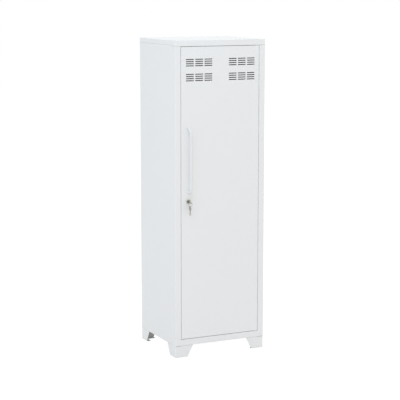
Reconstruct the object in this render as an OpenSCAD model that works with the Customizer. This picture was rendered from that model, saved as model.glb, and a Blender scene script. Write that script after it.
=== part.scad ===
// Single-door steel locker cabinet on four pressed feet, with a bar handle and a cam lock.
// X runs to the right as seen from the front, Y runs to the back and Z runs up.
// The origin is on the floor, halfway across the width and halfway between the
// front of the handle and the back of the body.

/* [Body] */
// Width of the body
body_w = 400; // [370:1:480]
// Depth of the body from the door's face to the back
body_d = 350; // [300:1:450]
// Height from the floor to the top of the cap
body_h = 1280; // [1200:1:1500]
// Thickness of the body, door and shelf sheet
sheet_t = 0.8; // [0.6:0.1:1.2]
// Inside radius of the folds
bend_r = 1.2; // [1:0.1:2.5]
// Width of the stile on each side of the door
stile_w = 25.5; // [20:0.5:32]
// Gap between the stile's lower end and the foot
stile_rise = 1.2; // [0.6:0.1:3]
// Depth of the stile's return behind the face
stile_d = 20; // [19:0.5:21]
// Height of the rail under the door
base_rail_h = 25.5; // [24:0.5:40]
// Depth of the rail under the door
base_rail_d = 22; // [20:1:30]
// Width of the lips under the floor tray
tray_lip = 20; // [18:1:26]
// Depth of the folded edges of the back panel
back_edge = 12; // [8:1:20]
// Space left between nested panels
nest_gap = 0.2; // [0.1:0.1:0.5]

/* [Top cap] */
// Height of the cap's front skirt
cap_h = 24.5; // [22:0.5:40]
// Height of the cap's skirts at the sides and the back
cap_side_h = 20; // [16:0.5:22]
// Width of the lip folded in under the cap
cap_lip = 18; // [16:1:19]
// Depth of the stop behind the top of the door
stop_drop = 14; // [12:1:20]
// Distance from the front and the back to the cap screws
cap_screw_in = 70; // [50:1:110]

/* [Feet] */
// Height of the feet
foot_h = 49; // [40:1:90]
// Width of each foot's face where it meets the body
foot_top_w = 79; // [74:1:110]
// Width of each foot's face at the floor
foot_bottom_w = 53; // [40:1:60]
// Distance of the feet behind the body's front and back
foot_set = 1.5; // [0:0.1:2]
// Thickness of the foot sheet
foot_t = 1.5; // [1:0.1:2.5]
// Width of the lips folded in at the top and bottom of a foot
foot_lip = 18; // [16:0.5:22]
// Distance from a foot's corner to its bolt, along the face
foot_bolt_run = 64; // [62:1:66]
// Distance from a foot's face to its bolt
foot_bolt_in = 11; // [10.5:0.5:12]
// Diameter of the foot bolts
foot_bolt_d = 6; // [5:1:6]

/* [Door] */
// Gap beside and over the door
door_gap = 1.2; // [1.1:0.1:3]
// Gap under the door
door_rise = 1.5; // [1.3:0.1:3.5]
// Thickness of the door
door_t = 18; // [16:0.5:18]
// Width of the lips folded in behind the door
door_lip = 12; // [10:1:16]
// Width of the stiffener's crown
stiffener_w = 40; // [30:1:80]
// Depth of the stiffener behind the door's sheet
stiffener_d = 11; // [6:1:12]
// Width of each of the stiffener's feet
stiffener_foot = 12; // [8:1:20]
// Distance from the door's lower lip to the stiffener
stiffener_low = 40; // [20:1:80]
// Distance from the vents to the stiffener
stiffener_high = 30; // [15:1:80]
// Distance from the door's free edge to the first bumper
bumper_in = 40; // [30:1:60]
// Distance from the door's hinged edge to the second bumper
bumper_out = 80; // [70:1:120]
// Diameter of the rubber bumpers
bumper_d = 9; // [6:0.5:10]
// Thickness of the rubber bumpers
bumper_t = 2; // [1.5:0.1:3]

/* [Hinge] */
// Distance from the door's edge to the hinge pins
hinge_in = 9; // [8:0.5:12]
// Distance from the door's face to the hinge pins
hinge_back = 5.5; // [5:0.5:6]
// Diameter of the hinge pins
pin_d = 5; // [4:0.5:6]
// Length of the hinge pins past the gap
pin_reach = 14; // [10:1:25]
// Wall of the hinge bushes
bush_wall = 1.5; // [1:0.1:2]
// Radial clearance of the hinge pins in their bushes
pin_clear = 0.05; // [0.02:0.01:0.1]
// Up and down play of the door
hinge_play = 0.2; // [0.1:0.1:0.8]

/* [Vents] */
// Length of a vent slot
vent_slot_l = 34.5; // [20:0.5:36]
// Height of a vent slot
vent_slot_h = 4.2; // [3:0.1:6]
// Corner radius of a vent slot
vent_slot_r = 0.9; // [0.5:0.1:1.4]
// Distance from one slot to the next in a block
vent_pitch = 8.4; // [8:0.1:10]
// Slots in a block
vent_slots = 4; // [2:1:5]
// Distance from one block to the next across the door
vent_col_pitch = 40.5; // [38:0.5:44]
// Blocks across each group
vent_cols = 3; // [1:1:3]
// Distance from one row of blocks to the next
vent_row_pitch = 58.5; // [55:0.5:80]
// Rows of blocks
vent_rows = 2; // [1:1:3]
// Distance from the door's middle to the middle of each group
vent_group_x = 94.5; // [85:0.25:97]
// Distance from the top of the door to the first slot
vent_drop = 47.6; // [30:0.1:80]

/* [Handle] */
// Height of the handle's middle above the floor
handle_z = 802; // [740:1:1000]
// Distance between the handle's legs
handle_span = 256; // [128:1:300]
// Diameter of the handle's bar
handle_d = 10; // [8:0.5:14]
// Distance from the door to the middle of the bar
handle_out = 28; // [25:1:45]
// Radius of the handle's bends, to the middle of the bar
handle_bend = 20; // [14:1:22]
// Distance from the door's free edge to the handle and the lock
handle_in = 31; // [26:0.5:34]
// Diameter of the handle screws
handle_screw_d = 5; // [3:0.5:5]
// Length of the handle screws in the handle
handle_screw_l = 11; // [8:1:20]

/* [Lock] */
// Height of the lock above the floor
lock_z = 639; // [600:1:645]
// Diameter of the lock's face
lock_face_d = 22; // [21:0.5:26]
// Thickness of the lock's face
lock_face_t = 3; // [2:0.5:4]
// Diameter of the lock's body
lock_body_d = 18; // [16:0.5:19]
// Length of the lock's body behind the door's face
lock_body_l = 21.2; // [21.2:0.1:24]
// Diameter of the plug
plug_d = 12; // [11:0.5:13]
// Diameter of the plug's head
plug_head_d = 14.5; // [14:0.5:15]
// Thickness of the plug's head
plug_head_t = 2; // [1:0.5:3]
// Amount the plug stands out of the lock's face
plug_proud = 0.4; // [0.2:0.1:1]
// Radial clearance of the plug in the lock
plug_clear = 0.06; // [0.03:0.01:0.1]
// Length of the cam from the plug to its tip
cam_l = 44; // [36:1:46]
// Width of the cam
cam_w = 12; // [10:0.5:14]
// Thickness of the cam
cam_t = 2; // [1.5:0.1:2.5]
// Width across the plug's square tail
tail_w = 7; // [6:0.5:7.5]
// Width across the flats of the lock nut
nut_flats = 24; // [22:0.5:28]
// Thickness of the lock nut
nut_t = 4; // [3:0.5:5]

/* [Keys] */
// Width of a key's bow
bow_w = 20; // [18:0.5:22]
// Length of a key's bow
bow_l = 19; // [18:0.5:22]
// Length of a key's blade
blade_l = 19.5; // [14:0.5:19.5]
// Width of a key's blade
blade_w = 8; // [6:0.5:8]
// Thickness of a key
key_t = 1.8; // [1.4:0.1:2]
// Radius of the hole in a key's bow
key_hole_r = 3.2; // [3.2:0.1:3.5]
// Distance from the end of the bow to the middle of its hole
key_hole_in = 5.2; // [5:0.1:6]
// Turn of the keyway from level
key_tilt = 45; // [45:1:45]
// Space round the key's blade in the plug
key_clear = 0.12; // [0.05:0.01:0.2]
// Radius of the key ring, to the middle of its wire
ring_r = 9; // [9:0.5:14]
// Diameter of the key ring's wire
ring_wire_d = 1.4; // [1:0.1:1.4]

/* [Inside] */
// Height of the upper shelf above the floor
upper_shelf_z = 1020; // [960:1:1080]
// Height of the lower shelf above the floor
lower_shelf_z = 330; // [250:1:420]
// Height of the shelves' edges
shelf_edge = 20; // [15:1:30]
// Width of the lips under the shelves
shelf_lip = 10; // [8:1:16]
// Space between the door's back and the shelves
shelf_front = 14; // [10:1:40]
// Space between the shelves and the side panels
shelf_side = 2.2; // [1.8:0.1:4]
// Thickness of the shelf brackets
bracket_t = 1.5; // [1:0.1:1.6]
// Length of a shelf bracket along the side panel
bracket_l = 30; // [20:1:60]
// Depth of a bracket's ledge
bracket_ledge = 14; // [10:1:20]
// Distance from the shelves' ends to the middle of the brackets
bracket_in = 45; // [35:1:80]
// Distance of the hanging rail below the top of the upper shelf
rail_drop = 70; // [50:1:120]
// Diameter of the hanging rail
rail_d = 16; // [12:0.5:22]
// Wall of the hanging rail
rail_wall = 1.2; // [0.8:0.1:2]
// Diameter of the rail sockets' plates
socket_plate_d = 36; // [34:1:50]
// Wall of the rail sockets
socket_wall = 2.5; // [2:0.1:4]
// Depth of the rail sockets
socket_l = 12; // [8:1:20]

/* [Fixings] */
// Diameter of the cap and back screws
screw_d = 4; // [3:0.5:4]
// Distance from the body's side to the cap and back screws
screw_in = 11; // [10:0.5:13]
// Length of the cap screws
cap_screw_l = 9; // [6:1:12]
// Length of the back screws
back_screw_l = 8; // [5:1:12]
// Screws down each side of the back
back_screws_side = 4; // [2:1:6]
// Distance from the sill and the cap to the last back screws
back_screw_in = 40; // [25:1:80]
// Distance between the two wall fixing holes
wall_hole_span = 250; // [150:10:260]
// Diameter of the wall fixing holes
wall_hole_d = 7; // [5:0.5:9]
// Distance of the wall fixing holes below the top
wall_hole_drop = 80; // [60:1:120]

/* [Hidden] */

$fn = 48;
eps = 0.5;                 // overshoot of cutting tools past a surface
bend_steps = 5;            // flats in a quarter fold
slot_steps = 3;            // flats in a vent slot's corner
fit_clear = 0.1;           // radial clearance of screws and bolts in their holes
punch = 8;                 // length of the tools that cut holes through one or two sheets
white = [0.93, 0.94, 0.95];
zinc = [0.75, 0.76, 0.77];
nickel = [0.62, 0.62, 0.6];
nylon = [0.95, 0.94, 0.9];
rubber = [0.15, 0.15, 0.15];

bend_o = bend_r + sheet_t;
tuck = 4 * bend_o;         // part of a folded shell that its user cuts away whole
x_l = -body_w / 2;
x_r = body_w / 2;
y_f = -(body_d - handle_out - handle_d / 2) / 2;
y_b = y_f + body_d;
z_base = foot_h;
z_sill = foot_h + base_rail_h;
z_cap = body_h - cap_h;
z_side = body_h - cap_side_h;
cap_front = y_f + cap_lip;
foot_y0 = y_f + foot_set;
foot_y1 = y_b - foot_set;

// The door's pan
door_x0 = x_l + stile_w + door_gap;
door_x1 = x_r - stile_w - door_gap;
door_z0 = z_sill + door_rise;
door_z1 = z_cap - door_gap - hinge_play;
door_back = y_f + door_t;
stop_y = door_back + bumper_t;

// The hinge axis
hinge_x = door_x1 - hinge_in;
hinge_y = y_f + hinge_back;
bush_r = pin_d / 2 + pin_clear + bush_wall;
bush_rim = 1;
bush_flange_r = bush_r + bush_rim;
bush_body_l = 6;
pin_head_t = 2.5;
pin_head_rim = 2;
pin_head_r = pin_d / 2 + pin_head_rim;
pin_nose = 1;
pin_taper = 1.5;           // taken off a pin's diameter at its nose

// The lock, the keys and the ring
lock_x = door_x0 + handle_in;
cam_y = y_f + lock_body_l + nest_gap / 2;
plug_face = y_f - lock_face_t - plug_proud;
keyway_l = blade_l + 1;
key_hole_y = plug_face - bow_l + key_hole_in;
ring_lift = -0.2;          // the wire's height above the middle of the hole it hangs in
ring_z = lock_z + ring_lift - ring_r;
spare_pivot_z = ring_z - ring_r;
spare_hole_z = spare_pivot_z - key_hole_r + ring_wire_d / 2 + fit_clear;
cam_screw_d = 4;
cam_screw_l = 4.4;
cam_shoulder = 2;

// The inside
side_x = body_w / 2 - sheet_t;
back_y = y_b - 2 * sheet_t;
shelf_y0 = door_back + shelf_front;
shelf_y1 = y_b - sheet_t - back_edge - nest_gap;
rail_z = upper_shelf_z - rail_drop;
rail_y = (shelf_y0 + shelf_y1) / 2;
socket_plate_t = 2.5;
bracket_drop = 22;

cap_screw_y = [y_f + cap_screw_in, y_b - cap_screw_in];
back_screw_z0 = z_sill + back_screw_in;
back_screw_z1 = z_side - back_screw_in;
foot_pocket = foot_lip + 2;

// A pan head, in diameters of its screw
pan_d = 1.9;
pan_top_d = 1.2;
pan_rim_h = 0.3;
pan_h = 0.55;
recess_w = 0.2;
recess_h = 0.3;

// Hexagon heads and nuts, in diameters of their bolt
hex_d = 1.9;
hex_head_h = 0.65;
hex_nut_h = 0.8;

function arc(cx, cy, r, start, steps) =
    [for (i = [0:steps]) [cx + r * cos(start + 90 * i / steps), cy + r * sin(start + 90 * i / steps)]];

function rounded_outline(w, h, r, steps) = concat(
    arc(w - r, h - r, r, 0, steps), arc(r, h - r, r, 90, steps),
    arc(r, r, r, 180, steps), arc(w - r, r, r, 270, steps));

module rounded_rect(w, h, r, steps = bend_steps) {
    polygon(rounded_outline(w, h, r, steps));
}

module box(lo, hi) {
    translate(lo) cube(hi - lo);
}

// A block whose twelve edges are rounded to r
module rounded_block(lo, hi, r) {
    size = hi - lo;
    translate(lo) intersection() {
        linear_extrude(size.z) rounded_rect(size.x, size.y, r);
        translate([0, size.y, 0]) rotate([90, 0, 0]) linear_extrude(size.y) rounded_rect(size.x, size.z, r);
        rotate([90, 0, 90]) linear_extrude(size.x) rounded_rect(size.y, size.z, r);
    }
}

// A block folded from sheet and closed on all sides, for its user to open
module folded_shell(lo, hi) {
    wall = [sheet_t, sheet_t, sheet_t];
    difference() {
        rounded_block(lo, hi, bend_o);
        rounded_block(lo + wall, hi - wall, bend_r);
    }
}

// The outline of a folded strip: p is the line of one face, and the sheet lies on its
// left (side 1) or on its right (side -1)
function spin(v, a) = [v.x * cos(a) - v.y * sin(a), v.x * sin(a) + v.y * cos(a)];
function heading(a, b) = (b - a) / norm(b - a);
function left_of(v) = [-v.y, v.x];
function fold(a, b, c, t, side) =
    let (u = heading(a, b), v = heading(b, c), turn = atan2(cross(u, v), u * v), s = sign(turn),
         r = bend_r + (s * side > 0 ? t : 0), n = left_of(u),
         middle = b - u * r * tan(abs(turn) / 2) + n * s * r)
    [for (i = [0:bend_steps]) let (m = spin(n, turn * i / bend_steps)) [middle - m * s * r, m]];
function fold_line(p, t, side) =
    let (last = len(p) - 1)
    concat([[p[0], left_of(heading(p[0], p[1]))]],
           [for (i = [1:last - 1]) each fold(p[i - 1], p[i], p[i + 1], t, side)],
           [[p[last], left_of(heading(p[last - 1], p[last]))]]);

module folded_strip(p, t, side) {
    line = fold_line(p, t, side);
    polygon(concat([for (q = line) q[0]],
                   [for (i = [len(line) - 1:-1:0]) line[i][0] + line[i][1] * side * t]));
}

// A channel along X with its web at y = 0 and both lips turned to the back
module channel(length, height, lip, t) {
    rotate([90, 0, 90]) linear_extrude(length)
        folded_strip([[lip, height], [0, height], [0, 0], [lip, 0]], t, 1);
}

// Children made along +Z are turned to run to the back from p
module to_back(p) {
    translate(p) rotate([-90, 0, 0]) children();
}

module mirrored_x() {
    mirror([1, 0, 0]) children();
}

module hole(p, d, length) {
    translate(p) cylinder(d = d + 2 * fit_clear, h = length, center = true);
}

module hole_to_back(p, d, length) {
    translate(p) rotate([90, 0, 0]) cylinder(d = d + 2 * fit_clear, h = length, center = true);
}

// A pan-head screw with its shank along +Z and the head's seat at z = 0
module pan_screw(d, length) {
    difference() {
        union() {
            cylinder(d = d, h = length);
            translate([0, 0, -pan_rim_h * d]) cylinder(d = pan_d * d, h = pan_rim_h * d);
            translate([0, 0, -pan_h * d])
                cylinder(d1 = pan_top_d * d, d2 = pan_d * d, h = (pan_h - pan_rim_h) * d);
        }
        for (a = [0, 90])
            rotate(a) translate([-d / 2, -recess_w * d / 2, -pan_h * d - eps])
                cube([d, recess_w * d, recess_h * d + eps]);
    }
}

// The left side panel: the side, the stile with its return, the rear flange and the top flange.
// It is notched at the top for the cap's deeper front skirt, and the stile ends above the foot.
module left_side_panel_shape() {
    inner = x_l + stile_w;
    low = z_base - tuck;
    difference() {
        union() {
            difference() {
                folded_shell([x_l, y_f, low], [inner, y_b, z_side]);
                box([inner - bend_o, y_f + stile_d, low - eps], [inner + eps, y_b + eps, z_side + eps]);
                box([inner - bend_o, y_f - eps, low - eps], [inner + eps, y_f + stile_d + eps, z_sill]);
            }
            box([inner - bend_o, y_f, z_base], [inner, y_f + sheet_t, z_sill]);
        }
        box([x_l - eps, y_f - eps, low - eps], [inner + eps, y_b + eps, z_base]);
        box([x_l - eps, y_f - eps, z_base - eps], [inner + eps, y_f + bend_o, z_base + stile_rise]);
        box([x_l - eps, y_f - eps, z_cap], [inner + eps, cap_front, z_side + eps]);
        for (y = cap_screw_y)
            hole([x_l + screw_in, y, z_side], screw_d, punch);
        back_screw_places()
            hole_to_back([x_l + screw_in, y_b, 0], screw_d, punch);
    }
}

module back_screw_places() {
    for (i = [0:back_screws_side - 1])
        translate([0, 0, back_screw_z0 + (back_screw_z1 - back_screw_z0) * i / (back_screws_side - 1)])
            children();
}

module left_side_panel() {
    color(white) left_side_panel_shape();
}

module right_side_panel() {
    color(white) mirrored_x() left_side_panel_shape();
}

// The back panel nests inside the side panels, and its folded edges start above the floor tray
module back_panel() {
    edge_x = side_x - nest_gap;
    front = y_b - sheet_t - back_edge;
    back_edge_rise = 5;
    top = z_side - sheet_t - nest_gap;
    low = z_base - tuck;
    color(white) difference() {
        folded_shell([-edge_x, front - tuck, low], [edge_x, y_b - sheet_t, top]);
        box([-body_w, front - body_d, low - eps], [body_w, front, top + eps]);
        box([-body_w, front - eps, low - eps], [body_w, y_b + eps, z_base]);
        for (side = [-1, 1])
            box([side * edge_x - bend_o, front - eps, low], [side * edge_x + bend_o, back_y, z_sill + back_edge_rise]);
        for (side = [-1, 1]) {
            hole_to_back([side * wall_hole_span / 2, y_b, body_h - wall_hole_drop],
                         wall_hole_d - 2 * fit_clear, punch);
            back_screw_places()
                hole_to_back([side * (body_w / 2 - screw_in), y_b, 0], screw_d, punch);
        }
    }
}

// The cap's front skirt is deeper than its side and back skirts, and each has a lip folded in
module top_cap() {
    color(white) difference() {
        union() {
            difference() {
                folded_shell([x_l, y_f, z_side], [x_r, y_b, body_h]);
                box([x_l - eps, y_f - eps, z_side - eps], [x_r + eps, cap_front - eps, body_h + eps]);
                box([x_l + cap_lip, cap_front - 2 * eps, z_side - eps],
                    [x_r - cap_lip, y_b - cap_lip, z_side + bend_o]);
            }
            difference() {
                folded_shell([x_l, y_f, z_cap], [x_r, y_b, body_h]);
                box([x_l - eps, cap_front, z_cap - eps], [x_r + eps, y_b + eps, body_h + eps]);
            }
        }
        for (side = [-1, 1])
            for (y = cap_screw_y)
                hole([side * (body_w / 2 - screw_in), y, z_side], screw_d, punch);
        hole([hinge_x, hinge_y, z_cap], pin_d, punch);
    }
}

// The angle on the cap's front lip: it carries the upper pin and its drop is the door's stop
module header_rail() {
    end_gap = 1;
    front_gap = 3.2;
    swing_clear = 4;
    x0 = x_l + stile_w + end_gap;
    length = body_w - 2 * (stile_w + end_gap);
    top = z_cap + 2 * sheet_t;
    swing = norm([hinge_in, door_t]) + swing_clear;
    color(white) difference() {
        translate([x0, 0, 0]) rotate([90, 0, 90]) linear_extrude(length)
            folded_strip([[y_f + front_gap, top], [stop_y + sheet_t, top], [stop_y + sheet_t, z_cap - stop_drop]],
                         sheet_t, -1);
        box([hinge_x - swing, stop_y - bend_o, z_cap - stop_drop - eps], [x_r, stop_y + 2 * bend_o, z_cap]);
        hole([hinge_x, hinge_y, z_cap], pin_d, punch);
    }
}

module base_rail() {
    color(white) difference() {
        translate([x_l + stile_w, y_f, z_base])
            channel(body_w - 2 * stile_w, base_rail_h, base_rail_d, sheet_t);
        hole([hinge_x, hinge_y, z_sill], pin_d, punch);
        for (side = [-1, 1])
            hole([side * (body_w / 2 - foot_bolt_run), foot_y0 + foot_bolt_in, z_base], foot_bolt_d, punch);
    }
}

// The floor tray is open below, with lips for the foot bolts
module floor_tray() {
    y0 = y_f + base_rail_d;
    bolt_x = body_w / 2 - foot_bolt_in;
    color(white) difference() {
        folded_shell([-side_x, y0, z_base], [side_x, back_y, z_sill]);
        box([-side_x + tray_lip, y0 + tray_lip, z_base - eps], [side_x - tray_lip, back_y - tray_lip, z_base + bend_o]);
        for (side = [-1, 1]) {
            for (y = [foot_y0 + foot_bolt_run, foot_y1 - foot_bolt_run])
                hole([side * bolt_x, y, z_base], foot_bolt_d, punch);
            hole([side * (body_w / 2 - foot_bolt_run), foot_y1 - foot_bolt_in, z_base], foot_bolt_d, punch);
        }
    }
}

// One face of a foot, with its outer corner at the origin: a tapered plate with a lip at each end
module foot_face() {
    corner = 2 * (foot_t + bend_r);
    taper = foot_top_w - foot_bottom_w;
    over = eps * taper / foot_h;
    difference() {
        translate([corner, 0, 0]) channel(foot_top_w - corner + taper / 2, foot_h, foot_lip, foot_t);
        translate([0, foot_lip + eps, 0]) rotate([90, 0, 0]) linear_extrude(foot_lip + 2 * eps)
            polygon([[foot_bottom_w - over, -eps], [foot_top_w + over, foot_h + eps],
                     [foot_top_w + taper, foot_h + eps], [foot_top_w + taper, -eps]]);
        box([0, foot_t + bend_r, -eps], [foot_pocket, foot_lip + eps, foot_h + eps]);
        hole([foot_bolt_run, foot_bolt_in, foot_h], foot_bolt_d, punch);
    }
}

module foot() {
    corner = 2 * (foot_t + bend_r);
    color(white) union() {
        linear_extrude(foot_h) folded_strip([[corner, 0], [0, 0], [0, corner]], foot_t, -1);
        foot_face();
        mirror([1, -1, 0]) foot_face();
    }
}

module foot_front_left() {
    translate([x_l, foot_y0, 0]) foot();
}

module foot_front_right() {
    translate([x_r, foot_y0, 0]) mirror([1, 0, 0]) foot();
}

module foot_rear_left() {
    translate([x_l, foot_y1, 0]) mirror([0, 1, 0]) foot();
}

module foot_rear_right() {
    translate([x_r, foot_y1, 0]) mirror([0, 1, 0]) mirror([1, 0, 0]) foot();
}

// Both bolts of every foot, on the line where the foot meets the body
module foot_bolt_places() {
    for (sx = [-1, 1])
        for (end = [[foot_y0, 1], [foot_y1, -1]]) {
            translate([sx * (body_w / 2 - foot_bolt_run), end[0] + end[1] * foot_bolt_in, z_base]) children();
            translate([sx * (body_w / 2 - foot_bolt_in), end[0] + end[1] * foot_bolt_run, z_base]) children();
        }
}

module foot_bolts() {
    head_h = hex_head_h * foot_bolt_d;
    thread_out = 1;
    color(zinc) foot_bolt_places() translate([0, 0, -foot_t]) union() {
        translate([0, 0, -head_h]) cylinder(d = hex_d * foot_bolt_d, h = head_h, $fn = 6);
        cylinder(d = foot_bolt_d, h = foot_t + sheet_t + foot_bolt_d + thread_out);
    }
}

module foot_nuts() {
    color(zinc) foot_bolt_places() translate([0, 0, sheet_t]) difference() {
        cylinder(d = hex_d * foot_bolt_d, h = hex_nut_h * foot_bolt_d, $fn = 6);
        translate([0, 0, -eps]) cylinder(d = foot_bolt_d + fit_clear, h = foot_bolt_d + 2 * eps);
    }
}

module cap_screws() {
    color(zinc) for (sx = [-1, 1])
        for (y = cap_screw_y)
            translate([sx * (body_w / 2 - screw_in), y, z_side - sheet_t]) pan_screw(screw_d, cap_screw_l);
}

module back_screws() {
    color(zinc) for (sx = [-1, 1])
        back_screw_places()
            translate([sx * (body_w / 2 - screw_in), y_b, 0]) rotate([90, 0, 0])
                pan_screw(screw_d, back_screw_l);
}

module shelf(top) {
    x = side_x - shelf_side;
    bottom = top - shelf_edge;
    color(white) difference() {
        folded_shell([-x, shelf_y0, bottom], [x, shelf_y1, top]);
        box([-x + shelf_lip, shelf_y0 + shelf_lip, bottom - eps],
            [x - shelf_lip, shelf_y1 - shelf_lip, bottom + bend_o]);
    }
}

module upper_shelf() {
    shelf(upper_shelf_z);
}

module lower_shelf() {
    shelf(lower_shelf_z);
}

module shelf_brackets() {
    color(white) for (top = [upper_shelf_z, lower_shelf_z])
        for (y = [shelf_y0 + bracket_in, shelf_y1 - bracket_in])
            for (side = [0, 1])
                mirror([side, 0, 0])
                    translate([-side_x, y + bracket_l / 2, top - shelf_edge]) rotate([90, 0, 0])
                        linear_extrude(bracket_l)
                            folded_strip([[0, -bracket_drop], [0, 0], [bracket_ledge, 0]], bracket_t, -1);
}

module hanging_rail() {
    length = 2 * (side_x - socket_plate_t);
    color(zinc) translate([-length / 2, rail_y, rail_z]) rotate([0, 90, 0]) difference() {
        cylinder(d = rail_d, h = length);
        translate([0, 0, -eps]) cylinder(d = rail_d - 2 * rail_wall, h = length + 2 * eps);
    }
}

// Each socket is a plate on the side panel with a collar for the rail
module rail_sockets() {
    color(zinc) for (side = [0, 1])
        mirror([side, 0, 0]) translate([-side_x, rail_y, rail_z]) rotate([0, 90, 0]) difference() {
            union() {
                cylinder(d = socket_plate_d, h = socket_plate_t);
                cylinder(d = rail_d + 2 * fit_clear + 2 * socket_wall, h = socket_plate_t + socket_l);
            }
            translate([0, 0, socket_plate_t])
                cylinder(d = rail_d + 2 * fit_clear, h = socket_l + eps);
        }
}

// A headed pin with its shank along +Z and the head's seat at z = 0
module hinge_pin(length) {
    color(zinc) union() {
        translate([0, 0, -pin_head_t]) cylinder(r = pin_head_r, h = pin_head_t);
        cylinder(d = pin_d, h = length - pin_nose);
        translate([0, 0, length - pin_nose]) cylinder(d1 = pin_d, d2 = pin_d - pin_taper, h = pin_nose);
    }
}

module lower_hinge_pin() {
    translate([hinge_x, hinge_y, z_sill - sheet_t])
        hinge_pin(sheet_t + door_rise + pin_reach);
}

module upper_hinge_pin() {
    translate([hinge_x, hinge_y, z_cap + 2 * sheet_t]) rotate([180, 0, 0])
        hinge_pin(2 * sheet_t + door_gap + hinge_play + pin_reach);
}

// A top-hat bush: its flange spaces the door from the body and its own body sits in the door's edge
module bush(flange) {
    difference() {
        union() {
            translate([0, 0, -flange]) cylinder(r = bush_flange_r, h = flange);
            cylinder(r = bush_r, h = bush_body_l);
        }
        translate([0, 0, -flange - eps])
            cylinder(d = pin_d + 2 * pin_clear, h = flange + bush_body_l + 2 * eps);
    }
}

module hinge_bushes() {
    color(nylon) {
        translate([hinge_x, hinge_y, door_z0]) bush(door_rise);
        translate([hinge_x, hinge_y, door_z1]) rotate([180, 0, 0]) bush(door_gap);
    }
}

module vent_slots_cut() {
    block_x = (vent_cols - 1) / 2;
    for (group = [-1, 1], col = [0:vent_cols - 1], row = [0:vent_rows - 1], slot = [0:vent_slots - 1])
        translate([group * vent_group_x + (col - block_x) * vent_col_pitch - vent_slot_l / 2,
                   y_f + sheet_t + eps,
                   door_z1 - vent_drop - vent_slot_h - row * vent_row_pitch - slot * vent_pitch])
            rotate([90, 0, 0]) linear_extrude(sheet_t + 2 * eps)
                rounded_rect(vent_slot_l, vent_slot_h, vent_slot_r, slot_steps);
}

// The door is a pan folded from one sheet, open behind, with the vent slots punched in blocks
module door_panel() {
    color(white) difference() {
        folded_shell([door_x0, y_f, door_z0], [door_x1, door_back, door_z1]);
        box([door_x0 + door_lip, door_back - bend_o, door_z0 + door_lip],
            [door_x1 - door_lip, door_back + eps, door_z1 - door_lip]);
        vent_slots_cut();
        hole_to_back([lock_x, y_f, lock_z], lock_body_d, punch);
        for (side = [-1, 1])
            hole_to_back([lock_x, y_f, handle_z + side * handle_span / 2], handle_screw_d, punch);
        for (z = [door_z0, door_z1])
            hole([hinge_x, hinge_y, z], 2 * bush_r, punch);
    }
}

// A hat section welded up the middle of the door, below the vents
module door_stiffener() {
    half = stiffener_w / 2;
    vents_h = vent_drop + (vent_rows - 1) * vent_row_pitch + vent_slots * vent_pitch;
    z0 = door_z0 + door_lip + stiffener_low;
    color(white) translate([0, y_f + sheet_t, z0]) linear_extrude(door_z1 - vents_h - stiffener_high - z0)
        folded_strip([[-half - stiffener_foot, 0], [-half, 0], [-half, stiffener_d],
                      [half, stiffener_d], [half, 0], [half + stiffener_foot, 0]], sheet_t, 1);
}

module door_bumpers() {
    color(rubber) for (x = [door_x0 + bumper_in, door_x1 - bumper_out])
        to_back([x, door_back, door_z1 - door_lip / 2])
            cylinder(d = bumper_d, h = bumper_t);
}

// The handle is one round bar with a quarter bend into each leg
module door_handle() {
    tap_over = 2;
    leg = handle_out - handle_bend;
    straight = handle_span - 2 * handle_bend;
    color(white) difference() {
        union() {
            translate([lock_x, y_f - handle_out, handle_z - straight / 2])
                cylinder(d = handle_d, h = straight);
            for (side = [-1, 1]) {
                translate([lock_x, y_f - leg, handle_z + side * handle_span / 2])
                    rotate([-90, 0, 0]) cylinder(d = handle_d, h = leg);
                translate([lock_x, y_f - leg, handle_z + side * straight / 2])
                    rotate([0, -90, 0]) rotate(side > 0 ? -90 : 180)
                        rotate_extrude(angle = 90) translate([handle_bend, 0]) circle(d = handle_d);
            }
        }
        for (side = [-1, 1])
            translate([lock_x, y_f + eps, handle_z + side * handle_span / 2])
                rotate([90, 0, 0]) cylinder(d = handle_screw_d + fit_clear, h = handle_screw_l + tap_over);
    }
}

module handle_screws() {
    color(zinc) for (side = [-1, 1])
        translate([lock_x, y_f + sheet_t, handle_z + side * handle_span / 2]) rotate([90, 0, 0])
            pan_screw(handle_screw_d, sheet_t + handle_screw_l);
}

// The lock's body, with its face outside the door and the plug's bore through it
module lock_barrel() {
    face_r = lock_face_d / 2;
    rim = 1.2;
    color(nickel) to_back([lock_x, y_f, lock_z]) difference() {
        rotate_extrude() polygon([
            [0, -lock_face_t], [face_r - rim, -lock_face_t], [face_r, -lock_face_t + rim], [face_r, 0],
            [lock_body_d / 2, 0], [lock_body_d / 2, lock_body_l], [0, lock_body_l]]);
        translate([0, 0, -lock_face_t - eps])
            cylinder(r = plug_head_d / 2 + plug_clear, h = plug_head_t - plug_proud + plug_clear + eps);
        translate([0, 0, -lock_face_t - eps])
            cylinder(r = plug_d / 2 + plug_clear, h = lock_face_t + lock_body_l + 2 * eps);
    }
}

module lock_nut() {
    color(nickel) to_back([lock_x, y_f + sheet_t, lock_z]) difference() {
        cylinder(d = nut_flats / cos(30), h = nut_t, $fn = 6);
        translate([0, 0, -eps]) cylinder(d = lock_body_d + fit_clear, h = nut_t + 2 * eps);
    }
}

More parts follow.
